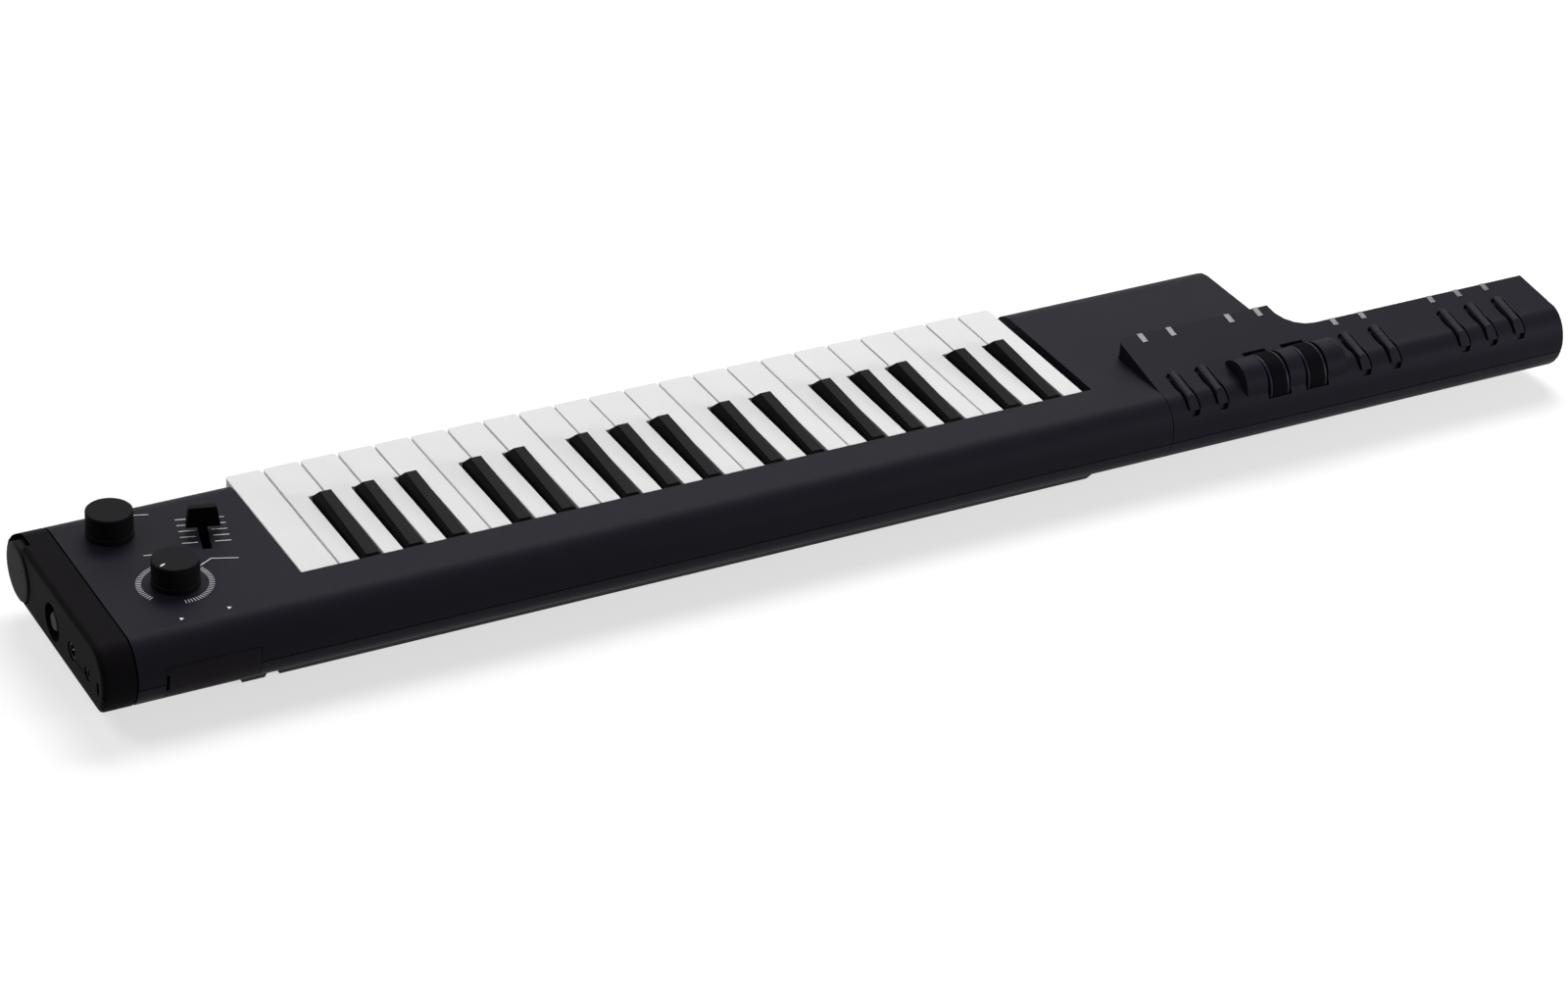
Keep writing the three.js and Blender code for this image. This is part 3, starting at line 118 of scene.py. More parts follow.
# %% Colours and nodes
def linear(hex_colour):
    """A screen's hex colour as linear red, green, blue and alpha."""
    channels = [int(hex_colour[i:i + 2], 16) / 255 for i in (0, 2, 4)]
    return tuple(c / 12.92 if c <= 0.04045 else ((c + 0.055) / 1.055) ** 2.4 for c in channels) + (1.0,)


def fill(tree, node, inputs):
    """Sets a node's inputs to plain values, or links them from other nodes."""
    for key, value in inputs.items():
        if isinstance(value, bpy.types.NodeSocket):
            tree.links.new(value, node.inputs[key])
        else:
            node.inputs[key].default_value = value


def add(tree, kind, settings=None, inputs=None):
    """Adds a node of a kind, with its settings and its inputs."""
    node = tree.nodes.new(kind)
    for key, value in (settings or {}).items():
        setattr(node, key, value)
    fill(tree, node, inputs or {})
    return node


def new_finish(name):
    """An empty material with a shader on its output."""
    finish = bpy.data.materials.new(name)
    finish.use_nodes = True
    tree = finish.node_tree
    tree.nodes.clear()
    shader = add(tree, "ShaderNodeBsdfPrincipled")
    add(tree, "ShaderNodeOutputMaterial", None, {"Surface": shader.outputs["BSDF"]})
    return finish, tree, shader


def grains(size_mm):
    """The noise scale that gives grains of a size in millimetres on coordinates in metres."""
    return 1.0 / mm(size_mm)


print("screen grey 808080 is", round(linear("808080")[0], 3), "in linear light")

# %% [markdown]
# The real housings are injection-moulded ABS. The mould is spark-eroded, so the surface has a fine
# even grain that spreads highlights and makes the black look slightly blue. The finish mixes two close
# colours over a wide noise, varies the roughness a little, and raises a grain of half a millimetre,
# which is coarser than the real one so that it still shows at the render's size. The grain swallows
# most of the sheen, so the specular level is far below that of polished plastic.

# %% Moulded ABS
ABS_IOR = 1.53
CLOUD_MM = 60.0
GRAIN_SWING, GRAIN_STRENGTH = 0.06, 0.6


def moulded_abs(name, dark, pale, roughness, grain_mm, grain_height_mm, gloss=0.5, sheen="ffffff"):
    """Grained plastic between two close colours."""
    finish, tree, shader = new_finish(name)
    place = add(tree, "ShaderNodeTexCoord")
    cloud = add(tree, "ShaderNodeTexNoise", None, {
        "Vector": place.outputs["Object"], "Scale": grains(CLOUD_MM), "Detail": 3.0, "Roughness": 0.55})
    tint = add(tree, "ShaderNodeMix", {"data_type": "RGBA"}, {
        "Factor": cloud.outputs["Fac"], "A": linear(dark), "B": linear(pale)})
    grain = add(tree, "ShaderNodeTexNoise", None, {
        "Vector": place.outputs["Object"], "Scale": grains(grain_mm), "Detail": 2.0, "Roughness": 0.6})
    spread = add(tree, "ShaderNodeMapRange", None, {
        "Value": grain.outputs["Fac"],
        "To Min": roughness - GRAIN_SWING, "To Max": roughness + GRAIN_SWING})
    relief = add(tree, "ShaderNodeBump", None, {
        "Height": grain.outputs["Fac"], "Strength": GRAIN_STRENGTH, "Distance": mm(grain_height_mm)})
    fill(tree, shader, {
        "Base Color": tint.outputs["Result"], "Roughness": spread.outputs["Result"],
        "Normal": relief.outputs["Normal"],
        "IOR": ABS_IOR, "Specular IOR Level": gloss, "Specular Tint": linear(sheen)})
    return finish


BLUE_SHEEN, PLUM_SHEEN = "ebe8ff", "f8f2fa"
abs_body = moulded_abs("abs_blue_black", "17171d", "1b1b22", 0.5, 0.5, 0.05, 0.034, BLUE_SHEEN)
abs_cap = moulded_abs("abs_warm_black", "110f11", "151315", 0.54, 0.5, 0.06, 0.01, PLUM_SHEEN)
abs_flap = moulded_abs("abs_flap", "1d1a1e", "211e22", 0.5, 0.5, 0.05, 0.025, PLUM_SHEEN)
abs_button = moulded_abs("abs_button", "14141b", "181820", 0.4, 0.7, 0.02, 0.06, BLUE_SHEEN)
# The knobs' fluted sides are painted darker and their tops paler, as painted shade and light on one
# moulding. The lever and the dial take these colours as their own.
abs_lever_and_knob_side_painted_shade = moulded_abs("abs_lever_and_knob_side_painted_shade", "070608", "0a090b", 0.4, 0.4, 0.03, 0.02)
abs_dial_and_knob_top_painted_light = moulded_abs("abs_dial_and_knob_top_painted_light", "100e10", "141214", 0.5, 0.4, 0.03, 0.025, PLUM_SHEEN)
abs_frame = moulded_abs("abs_key_frame", "4c4d51", "55565a", 0.6, 0.8, 0.04)
abs_peg = moulded_abs("abs_strap_peg", "1c191d", "221f23", 0.45, 0.6, 0.03, 0.04)
wheel_rim = moulded_abs("abs_wheel_rim", "19181f", "1e1d25", 0.42, 0.6, 0.03, 0.06, BLUE_SHEEN)
# The jacks' rims are painted paler than the cap, as a painted highlight round each hole.
jack_ring_painted_highlight = moulded_abs("abs_jack_ring_painted_highlight", "2b282d", "302d32", 0.42, 0.6, 0.02, 0.05)
socket_black = moulded_abs("abs_socket", "0f0f11", "131315", 0.4, 0.6, 0.02, 0.05)
# Near-black: the dial's own dot, and painted shade in the seams, the scoop and the gaps round the flap and
# door.
dot_and_painted_shade_black = moulded_abs("abs_dot_and_painted_shade", "040404", "060606", 0.8, 0.6, 0.02, 0.0)
print("moulded finishes:", [finish.name for finish in bpy.data.materials if finish.name.startswith("abs_")])

# %% [markdown]
# The white keys are ABS from a polished mould. They are smooth, with a soft sheen and no grain, and light
# goes a little way into them. A wide, very low noise keeps their flat tops from looking like cut paper. The
# black keys are the same plastic in black, smoother still. Their tops are painted a shade paler and their
# drafted sides darker, as painted light and shade.

# %% Polished ABS for the keys
KEY_CLOUD_MM, KEY_WAVE_MM = 25.0, 3.0
WAVE_SWING, WAVE_STRENGTH = 0.04, 0.25
WHITE_WAVE_HEIGHT, BLACK_WAVE_HEIGHT = 0.03, 0.004
LIGHT_DEPTH, LIGHT_SHARE = 0.8, 0.12


def polished_abs(name, dark, pale, roughness, gloss, wave_height_mm, depth_mm=0.0):
    """Smooth plastic, and light goes into it where a depth is given."""
    finish, tree, shader = new_finish(name)
    place = add(tree, "ShaderNodeTexCoord")
    cloud = add(tree, "ShaderNodeTexNoise", None, {
        "Vector": place.outputs["Object"], "Scale": grains(KEY_CLOUD_MM), "Detail": 2.0})
    tint = add(tree, "ShaderNodeMix", {"data_type": "RGBA"}, {
        "Factor": cloud.outputs["Fac"], "A": linear(dark), "B": linear(pale)})
    waves = add(tree, "ShaderNodeTexNoise", None, {
        "Vector": place.outputs["Object"], "Scale": grains(KEY_WAVE_MM), "Detail": 1.0})
    spread = add(tree, "ShaderNodeMapRange", None, {
        "Value": waves.outputs["Fac"],
        "To Min": roughness - WAVE_SWING, "To Max": roughness + WAVE_SWING})
    relief = add(tree, "ShaderNodeBump", None, {
        "Height": waves.outputs["Fac"], "Strength": WAVE_STRENGTH, "Distance": mm(wave_height_mm)})
    fill(tree, shader, {
        "Base Color": tint.outputs["Result"], "Roughness": spread.outputs["Result"],
        "Normal": relief.outputs["Normal"], "IOR": ABS_IOR, "Specular IOR Level": gloss})
    if depth_mm:
        fill(tree, shader, {
            "Subsurface Weight": LIGHT_SHARE, "Subsurface Radius": (1.0, 0.9, 0.8),
            "Subsurface Scale": mm(depth_mm)})
    return finish


abs_white_key = polished_abs("abs_white_key", "dedede", "e3e3e3", 0.4, 0.06, WHITE_WAVE_HEIGHT, LIGHT_DEPTH)
# Painted light: the black keys' tops are a paler black than their sides, which are painted darker as shade.
abs_black_key_top_painted_light = polished_abs("abs_black_key_top_painted_light", "0b0b0e", "0f0f12", 0.34, 0.02, BLACK_WAVE_HEIGHT)
abs_black_key_side_painted_shade = polished_abs("abs_black_key_side_painted_shade", "050506", "080809", 0.42, 0.02, BLACK_WAVE_HEIGHT)
print("key finishes:", abs_white_key.name, abs_black_key_top_painted_light.name, abs_black_key_side_painted_shade.name)

# %% [markdown]
# The smaller finishes follow: silicone rubber on the wheels, a frosted light guide for the lamps,
# white pad-printed ink and nickel-plated contacts.

# %% Rubber, light guide, ink and nickel
BLOOM_MM, BLOOM_SWING, BLOOM_HEIGHT = 1.2, 0.1, 0.04
FROST_MM, CLEAREST, DULLEST = 0.5, 0.22, 0.4
ACRYLIC_IOR, LET_THROUGH = 1.49, 0.25
INK_SPOT_MM, THINNEST, INK_ROUGHNESS = 0.4, 0.86, 0.55
TURNING_MM, TURNING_SWING = 0.3, 0.08


def silicone_rubber(name, colour, roughness, gloss):
    """Dull rubber with a fine bloom."""
    finish, tree, shader = new_finish(name)
    place = add(tree, "ShaderNodeTexCoord")
    bloom = add(tree, "ShaderNodeTexNoise", None, {
        "Vector": place.outputs["Object"], "Scale": grains(BLOOM_MM), "Detail": 4.0})
    spread = add(tree, "ShaderNodeMapRange", None, {
        "Value": bloom.outputs["Fac"],
        "To Min": roughness - BLOOM_SWING, "To Max": roughness + BLOOM_SWING})
    relief = add(tree, "ShaderNodeBump", None, {
        "Height": bloom.outputs["Fac"], "Strength": 0.4, "Distance": mm(BLOOM_HEIGHT)})
    fill(tree, shader, {
        "Base Color": linear(colour), "Roughness": spread.outputs["Result"],
        "Normal": relief.outputs["Normal"], "Specular IOR Level": gloss})
    return finish


def frosted_acrylic(name, colour):
    """The light guide's clear plastic with a frosted skin."""
    finish, tree, shader = new_finish(name)
    place = add(tree, "ShaderNodeTexCoord")
    frost = add(tree, "ShaderNodeTexNoise", None, {
        "Vector": place.outputs["Object"], "Scale": grains(FROST_MM), "Detail": 3.0})
    spread = add(tree, "ShaderNodeMapRange", None, {
        "Value": frost.outputs["Fac"], "To Min": CLEAREST, "To Max": DULLEST})
    fill(tree, shader, {
        "Base Color": linear(colour), "Roughness": spread.outputs["Result"],
        "IOR": ACRYLIC_IOR, "Transmission Weight": LET_THROUGH})
    return finish


def printed_ink(name, thin_colour, colour):
    """Pad-printed ink, matte, with thin spots."""
    finish, tree, shader = new_finish(name)
    place = add(tree, "ShaderNodeTexCoord")
    thin = add(tree, "ShaderNodeTexNoise", None, {
        "Vector": place.outputs["Object"], "Scale": grains(INK_SPOT_MM), "Detail": 2.0})
    cover = add(tree, "ShaderNodeMapRange", None, {
        "Value": thin.outputs["Fac"], "To Min": THINNEST, "To Max": 1.0})
    tint = add(tree, "ShaderNodeMix", {"data_type": "RGBA"}, {
        "Factor": cover.outputs["Result"], "A": linear(thin_colour), "B": linear(colour)})
    fill(tree, shader, {"Base Color": tint.outputs["Result"], "Roughness": INK_ROUGHNESS})
    return finish


def plated_nickel(name, colour, roughness):
    """A plated contact with fine turning marks."""
    finish, tree, shader = new_finish(name)
    place = add(tree, "ShaderNodeTexCoord")
    marks = add(tree, "ShaderNodeTexNoise", None, {
        "Vector": place.outputs["Object"], "Scale": grains(TURNING_MM), "Detail": 2.0})
    spread = add(tree, "ShaderNodeMapRange", None, {
        "Value": marks.outputs["Fac"],
        "To Min": roughness - TURNING_SWING, "To Max": roughness + TURNING_SWING})
    fill(tree, shader, {
        "Base Color": linear(colour), "Metallic": 1.0, "Roughness": spread.outputs["Result"]})
    return finish


wheel_band = silicone_rubber("rubber_wheel_band", "0a0a0d", 0.62, 0.015)
guide_lens = frosted_acrylic("acrylic_lamp_lens", "2e3138")
white_ink = printed_ink("ink_white", "55555a", "f2f2f4")
nickel = plated_nickel("nickel_contact", "d6d3ce", 0.45)
print("small finishes:", wheel_band.name, guide_lens.name, white_ink.name, nickel.name)

# %% [markdown]
# Every new piece ends the same way: its faces shade smoothly except across real edges, its mesh
# becomes an object at the frame's origin, and it is tied to the CAD body that it moves with. A piece
# that stands for CAD solids names them. Its sharp edges can then be rounded, as a mould rounds them.

# %% From a bmesh to a piece
SHARP_DEGREES, TURNED_SHARP_DEGREES = 30.0, 50.0
SOFT_ANGLE = math.radians(35.0)


def piece_from(shape, name, finishes, body, stands_for=(), sharp_degrees=SHARP_DEGREES, even=True):
    """Makes a shape an object that rides on a body and takes a slot's finish."""
    for face in shape.faces:
        face.smooth = True
    for edge in shape.edges:
        if len(edge.link_faces) == 2 and edge.calc_face_angle(0.0) > math.radians(sharp_degrees):
            edge.smooth = False
    mesh = bpy.data.meshes.new(name)
    shape.to_mesh(mesh)
    shape.free()
    piece = bpy.data.objects.new(name, mesh)
    bpy.context.scene.collection.objects.link(piece)
    for finish in finishes:
        mesh.materials.append(finish)
    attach(piece, body)
    if stands_for:
        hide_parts(*stands_for)
    if even:
        normals = piece.modifiers.new("even_shading", "WEIGHTED_NORMAL")
        normals.keep_sharp = True
    print(name, len(mesh.polygons), "faces")
    return piece


def soften(piece, width_mm, segments=2):
    """Rounds the sharp edges of a piece, before its shading is evened."""
    edge = piece.modifiers.new("soft_edges", "BEVEL")
    edge.width = mm(width_mm)
    edge.segments = segments
    edge.limit_method = "ANGLE"
    edge.angle_limit = SOFT_ANGLE
    edge.harden_normals = True
    edge.miter_outer = "MITER_ARC"
    while piece.modifiers[0] != edge:
        piece.modifiers.move(piece.modifiers.find(edge.name), 0)
    return edge


print("edges over", SHARP_DEGREES, "degrees stay sharp, and", TURNED_SHARP_DEGREES, "on turned pieces")

# %% [markdown]
# The large mouldings already have the right shape in CAD, but there they are loose triangles that shade
# flat. A copy is welded, its flat areas are joined into single faces, and it is shaded smoothly, so that
# the bullnose along the body's near side turns over in one even highlight. Where two mouldings meet, each
# one's edge gets a narrow bevel painted near-black, and the two make the groove of the seam. The black is
# painted shade in that groove.

# %% Welded copies of CAD solids
WELD = 2e-6
FLAT_ANGLE = math.radians(0.4)
SEAM_WIDTH, SEAM_REACH = 0.46, 0.3
CAP_SEAM_X, NECK_SEAM_X, PARTING_Z = 18.0, 616.48, -22.5


def on_seam(vert):
    """For each plane where two mouldings meet, whether a point lies on it."""
    planes = [
        (vert.co.x, at(CAP_SEAM_X, 0, 0).x), (vert.co.x, at(NECK_SEAM_X, 0, 0).x),
        (vert.co.z, at(0, 0, PARTING_Z).z)]
    return [abs(value - plane) < mm(SEAM_REACH) for value, plane in planes]


def mark_seams(shape):
    """Gives every edge that runs along a seam a bevel weight."""
    weight = shape.edges.layers.float.new("bevel_weight_edge")
    for edge in shape.edges:
        first, second = (on_seam(vert) for vert in edge.verts)
        edge[weight] = 1.0 if any(a and b for a, b in zip(first, second)) else 0.0


def moulding(node, finishes, edge_mm=0.0, sharp_degrees=SHARP_DEGREES, pick=None, seams=False):
    """A welded, smooth copy of a node. Edges can be softened, and seams take the last finish, painted
    near-black as shade in the groove.
    """
    shape = bmesh.new()
    shape.from_mesh(frame["nodes"][node].data)
    bmesh.ops.remove_doubles(shape, verts=shape.verts, dist=WELD)
    bmesh.ops.dissolve_limit(shape, angle_limit=FLAT_ANGLE, verts=shape.verts, edges=shape.edges)
    for face in shape.faces:
        face.material_index = pick(face) if pick else 0
    if seams:
        mark_seams(shape)
    piece = piece_from(shape, "look_" + node, finishes, body_of_node[node], [node], sharp_degrees)
    if edge_mm:
        soften(piece, edge_mm)
    if seams:
        groove = soften(piece, SEAM_WIDTH, segments=1)
        groove.limit_method = "WEIGHT"
        # The seam's bevel is painted near-black as the shade in its groove.
        groove.material = len(finishes) - 1
    return piece


for node in ("upper_case", "lower_case", "neck_upper", "neck_lower"):
    moulding(node, [abs_body, dot_and_painted_shade_black], seams=True)

# %% [markdown]
# Each of the 37 keys is one hollow moulding. Its edges are where the eye reads its shape, so the copy
# gets a bevel of a few tenths of a millimetre. White keys are softer than black ones.

# %% Keys
WHITE_EDGE, BLACK_EDGE = 0.45, 0.25
TOP_LEAN = 0.93


def black_key_painted_light(face):
    """0 for a black key's top, painted paler as painted light, 1 for its sides and ends, painted darker as
    painted shade.
    """
    return 0 if face.normal.z > TOP_LEAN else 1


white_nodes = sorted(n for n in frame["nodes"] if n.startswith("white_key"))
black_nodes = sorted(n for n in frame["nodes"] if n.startswith("black_key"))
for node in white_nodes:
    moulding(node, [abs_white_key], WHITE_EDGE)
for node in black_nodes:
    moulding(node, [abs_black_key_top_painted_light, abs_black_key_side_painted_shade], BLACK_EDGE, pick=black_key_painted_light)
print(len(white_nodes), "white and", len(black_nodes), "black keys")

# %% [markdown]
# The end cap carries a strap peg in a round dish. The peg is a separate, slightly paler moulding on the
# real instrument, so faces near its axis and inside the dish take a second finish. The power socket's pin
# is nickel, and the scoop beside the dial is painted near-black, as painted shade in the hollow.

# %% End cap
PEG_Y, PEG_Z, PEG_RADIUS, DISH_DEPTH = 36.3, -19.0, 5.4, 8.8
POWER_Y, POWER_Z, POWER_PIN = -27.4, -20.5, 0.8
SCOOP_Y, SCOOP_Z, SCOOP_RADIUS, SCOOP_DEPTH = 87.5, -1.5, 9.7, 5.0
CAP_FACE = 0.2


def within(face, y, z, radius_mm, low_mm, high_mm):
    """Whether a face lies inside a round space that runs along X from the end face."""
    away = face.calc_center_median() - at(0.0, y, z)
    return math.hypot(away.y, away.z) < mm(radius_mm) and mm(low_mm) < away.x < mm(high_mm)


def cap_finish(face):
    """0 for the cap, 1 for the peg, 2 for the power socket's pin and 3 for the scoop, painted near-black as
    shade.
    """
    if within(face, PEG_Y, PEG_Z, PEG_RADIUS, -1.0, DISH_DEPTH):
        return 1
    if within(face, POWER_Y, POWER_Z, POWER_PIN, 0.0, DISH_DEPTH):
        return 2
    return 3 if within(face, SCOOP_Y, SCOOP_Z, SCOOP_RADIUS, CAP_FACE, SCOOP_DEPTH) else 0


moulding("end_cap", [abs_cap, abs_peg, nickel, dot_and_painted_shade_black], pick=cap_finish, seams=True)

# %% [markdown]
# The flap and the battery door each lie in an opening with a thin dark gap round them, so their softened
# edges are painted near-black, as painted shade of that gap. The lever, the seven buttons and the lamps'
# lenses are softened only. The jacks' rims stand in the cap's holes and are painted paler than the sockets
# behind them, as a painted highlight on the rims.

# %% Flap, door, lever, buttons, lenses, board and key frame
COVER_EDGE, LEVER_EDGE, BUTTON_EDGE, LENS_EDGE = 0.25, 0.5, 0.6, 0.15
BUTTONS = 7
JACK_DEPTH = 4.0
OUTWARD = -0.5


def board_finish(face):
    """1 for the jacks' rims, painted paler as a painted highlight, 0 for everything behind them."""
    in_cap = face.calc_center_median().x < at(JACK_DEPTH, 0, 0).x
    return 1 if in_cap and face.normal.x < OUTWARD else 0


for node, finish, slot in (("terminal_flap", abs_flap, "cap"), ("battery_door", abs_body, "body")):
    # The covers' softened edges are painted near-black as the shade of the gap round them.
    moulding(node, [finish, dot_and_painted_shade_black], COVER_EDGE).modifiers["soft_edges"].material = 1
moulding("effect_lever", [abs_lever_and_knob_side_painted_shade], LEVER_EDGE)
for number in range(1, BUTTONS + 1):
    moulding(f"neck_button_{number}", [abs_button], BUTTON_EDGE, TURNED_SHARP_DEGREES)
moulding("status_lenses", [guide_lens], LENS_EDGE)
moulding("connector_board", [socket_black, jack_ring_painted_highlight], pick=board_finish)
moulding("key_frame", [abs_frame])

# %% [markdown]
# Knobs, the dial and the wheels are turned shapes. A half profile of radius and height is spun about
# the axis, and the barrel is then fluted by drawing every second column of its points inward, which is
# how a knurled or ribbed grip looks from arm's length.


# %% Turned shapes
def spun(profile, steps):
    """A closed shape from a profile of (radius, height) in millimetres, spun about Z."""
    shape = bmesh.new()
    points = [shape.verts.new((mm(radius), 0.0, mm(height))) for radius, height in profile]
    edges = [shape.edges.new(pair) for pair in zip(points, points[1:])]
    bmesh.ops.spin(
        shape, geom=points + edges, cent=(0, 0, 0), axis=(0, 0, 1), angle=math.tau, steps=steps,
        use_merge=True)
    bmesh.ops.remove_doubles(shape, verts=shape.verts, dist=WELD)
    bmesh.ops.recalc_face_normals(shape, faces=shape.faces)
    return shape


def flute(shape, low_mm, high_mm, inner_mm, steps, depth_mm):
    """Draws every second column inward between two heights, outside a radius."""
    for vert in shape.verts:
        radius = math.hypot(vert.co.x, vert.co.y)
        if radius < mm(inner_mm) or not mm(low_mm) <= vert.co.z <= mm(high_mm):
            continue
        column = round(math.atan2(vert.co.y, vert.co.x) / math.tau * steps)
        if column % 2 == 0:
            vert.co.x *= 1 - mm(depth_mm) / radius
            vert.co.y *= 1 - mm(depth_mm) / radius


def put(shape, place, turn_matrix=None):
    """Turns a shape about the origin and moves it to its place."""
    if turn_matrix is not None:
        bmesh.ops.transform(shape, matrix=turn_matrix, verts=shape.verts)
    bmesh.ops.translate(shape, vec=place, verts=shape.verts)


ALONG_X = Matrix.Rotation(math.radians(90), 4, "Y")
BARREL_SKIN = 0.05
print("a shape spun about Z is laid along", [round(v) for v in ALONG_X @ Vector((0, 0, 1))])

# %% [markdown]
# Both panel knobs are the same moulding: a low skirt, a thin groove, and a barrel with very fine
# flutes under a flat top whose edge is broken. The top lies an ink's height below its CAD height,
# because one knob's pointer is printed on it.

# %% Panel knobs
INK_HEIGHT = 0.06
KNOB_BASE, KNOB_TOP, STEM_END = 1.3, 15.44, -7.0
KNOB_RADIUS, SKIRT_RADIUS, SKIRT_TOP, GROOVE_RADIUS = 12.2, 12.45, 4.3, 11.6
FLUTE_STEPS, FLUTE_DEPTH = 168, 0.16
EFFECT_X, EFFECT_Y = 58.0, 16.2
knob_profile = [
    (0.0, STEM_END), (3.0, STEM_END), (3.0, KNOB_BASE),
    (SKIRT_RADIUS - 0.2, KNOB_BASE), (SKIRT_RADIUS, KNOB_BASE + 0.2),
    (SKIRT_RADIUS, SKIRT_TOP - 0.35), (SKIRT_RADIUS - 0.3, SKIRT_TOP), (GROOVE_RADIUS, SKIRT_TOP + 0.05),
    (GROOVE_RADIUS, SKIRT_TOP + 0.6), (KNOB_RADIUS - 0.15, SKIRT_TOP + 0.8), (KNOB_RADIUS, SKIRT_TOP + 1.1),
    (KNOB_RADIUS, 9.0), (KNOB_RADIUS, KNOB_TOP - 0.9), (KNOB_RADIUS - 0.12, KNOB_TOP - 0.4),
    (KNOB_RADIUS - 0.45, KNOB_TOP - 0.1), (KNOB_RADIUS - 0.9, KNOB_TOP), (0.0, KNOB_TOP),
]
for node, x, y in (("select_knob", 44.7, 72.5), ("effect_knob", EFFECT_X, EFFECT_Y)):
    shape = spun(knob_profile, FLUTE_STEPS)
    flute(shape, SKIRT_TOP + 1.0, KNOB_TOP - 0.8, KNOB_RADIUS - BARREL_SKIN, FLUTE_STEPS, FLUTE_DEPTH)
    put(shape, at(x, y, 0.0))
    for face in shape.faces:
        # The knob's top is painted paler and its fluted sides darker, as painted light and shade.
        face.material_index = 1 if face.calc_center_median().z > mm(KNOB_TOP - 0.5) else 0
    finishes = [abs_lever_and_knob_side_painted_shade, abs_dial_and_knob_top_painted_light]
    piece_from(shape, "look_" + node, finishes, body_of_node[node], [node], TURNED_SHARP_DEGREES)

# %% [markdown]
# The volume dial is a coin on edge, let into the cap's end face. Its rim has the same fine flutes, and
# its face has a small dark dot near the rim that shows how far it is turned.

# %% Volume dial
DIAL_Y, DIAL_Z, DIAL_RADIUS, DIAL_OUT, DIAL_IN = 85.0, -17.4, 16.0, -1.0, 5.0
HUB_RADIUS, HUB_LENGTH = 5.0, 4.0
dial_profile = [
    (0.0, DIAL_OUT), (12.6, DIAL_OUT), (13.4, DIAL_OUT + 0.05), (DIAL_RADIUS - 0.9, DIAL_OUT + 0.2),
    (DIAL_RADIUS - 0.3, DIAL_OUT + 0.5), (DIAL_RADIUS, DIAL_OUT + 1.0), (DIAL_RADIUS, DIAL_IN - 0.6),
    (DIAL_RADIUS - 0.6, DIAL_IN), (HUB_RADIUS, DIAL_IN), (HUB_RADIUS, DIAL_IN + HUB_LENGTH),
    (0.0, DIAL_IN + HUB_LENGTH),
]
shape = spun(dial_profile, FLUTE_STEPS)
flute(shape, DIAL_OUT + 0.9, DIAL_IN - 0.5, DIAL_RADIUS - BARREL_SKIN, FLUTE_STEPS, FLUTE_DEPTH)
put(shape, at(0.0, DIAL_Y, DIAL_Z), ALONG_X)
piece_from(shape, "look_volume_dial", [abs_dial_and_knob_top_painted_light], "dial", ["volume_dial"], TURNED_SHARP_DEGREES)

DOT_REACH, DOT_RADIUS, DOT_TURN = 9.8, 0.75, math.radians(150.0)
DOT_THICK, DOT_PROUD = 0.05, 0.02
shape = bmesh.new()
bmesh.ops.create_cone(
    shape, segments=20, radius1=mm(DOT_RADIUS), radius2=mm(DOT_RADIUS), depth=mm(DOT_THICK), cap_ends=True)
put(shape, at(
    DIAL_OUT + DOT_THICK / 2 - DOT_PROUD,
    DIAL_Y + DOT_REACH * math.cos(DOT_TURN), DIAL_Z + DOT_REACH * math.sin(DOT_TURN)), ALONG_X)
piece_from(shape, "dial_dot", [dot_and_painted_shade_black], "dial", even=False)

# %% [markdown]
# Behind the rim of each round jack a sprung nickel contact lies along the bore. From outside only its
# rounded end shows, as one bright point in the dark.

# %% Jack contacts
CONTACT_IN, CONTACT_LENGTH = 1.6, 5.0
contacts = [("line_jack_contact", 11.35, -20.8, 0.42), ("phones_jack_contact", -11.75, -20.9, 0.34)]
for name, y, z, radius in contacts:
    shape = bmesh.new()
    bmesh.ops.create_uvsphere(shape, u_segments=16, v_segments=10, radius=mm(radius))
    for vert in shape.verts:
        if vert.co.z > 0:
            vert.co.z += mm(CONTACT_LENGTH)
    put(shape, at(CONTACT_IN + radius, y, z), ALONG_X)
    piece_from(shape, name, [nickel], "body", even=False)

# %% [markdown]
# Each finger wheel has two smooth rims with a rubber band between them, cut with fine ribs across its
# width so that a thumb can feel it. A face takes the rubber's finish if it lies in the middle of the
# width and far enough from the axle.

# %% Finger wheels
WHEEL_Y, WHEEL_Z, WHEEL_RADIUS, WHEEL_HALF = -17.2, -7.4, 15.8, 6.3
RIM_RADIUS, RIM_WIDTH, BAND_HALF, GUTTER_RADIUS = 15.4, 1.5, 4.3, 14.8
AXLE_RADIUS, AXLE_HALF = 2.4, 9.3
RIB_STEPS, RIB_DEPTH, BAND_FLOOR = 192, 0.35, 15.0
wheel_side = [
    (AXLE_RADIUS, WHEEL_HALF), (13.0, WHEEL_HALF), (14.9, WHEEL_HALF), (15.25, WHEEL_HALF - 0.12),
    (RIM_RADIUS, WHEEL_HALF - 0.45), (RIM_RADIUS, WHEEL_HALF - RIM_WIDTH),
    (GUTTER_RADIUS, WHEEL_HALF - RIM_WIDTH - 0.1), (GUTTER_RADIUS, BAND_HALF + 0.1),
    (15.5, BAND_HALF), (WHEEL_RADIUS, BAND_HALF - 0.3),
]
axle = [(0.0, AXLE_HALF), (AXLE_RADIUS, AXLE_HALF)]
upper_half = axle + wheel_side
wheel_profile = [(radius, -height) for radius, height in upper_half] + upper_half[::-1]
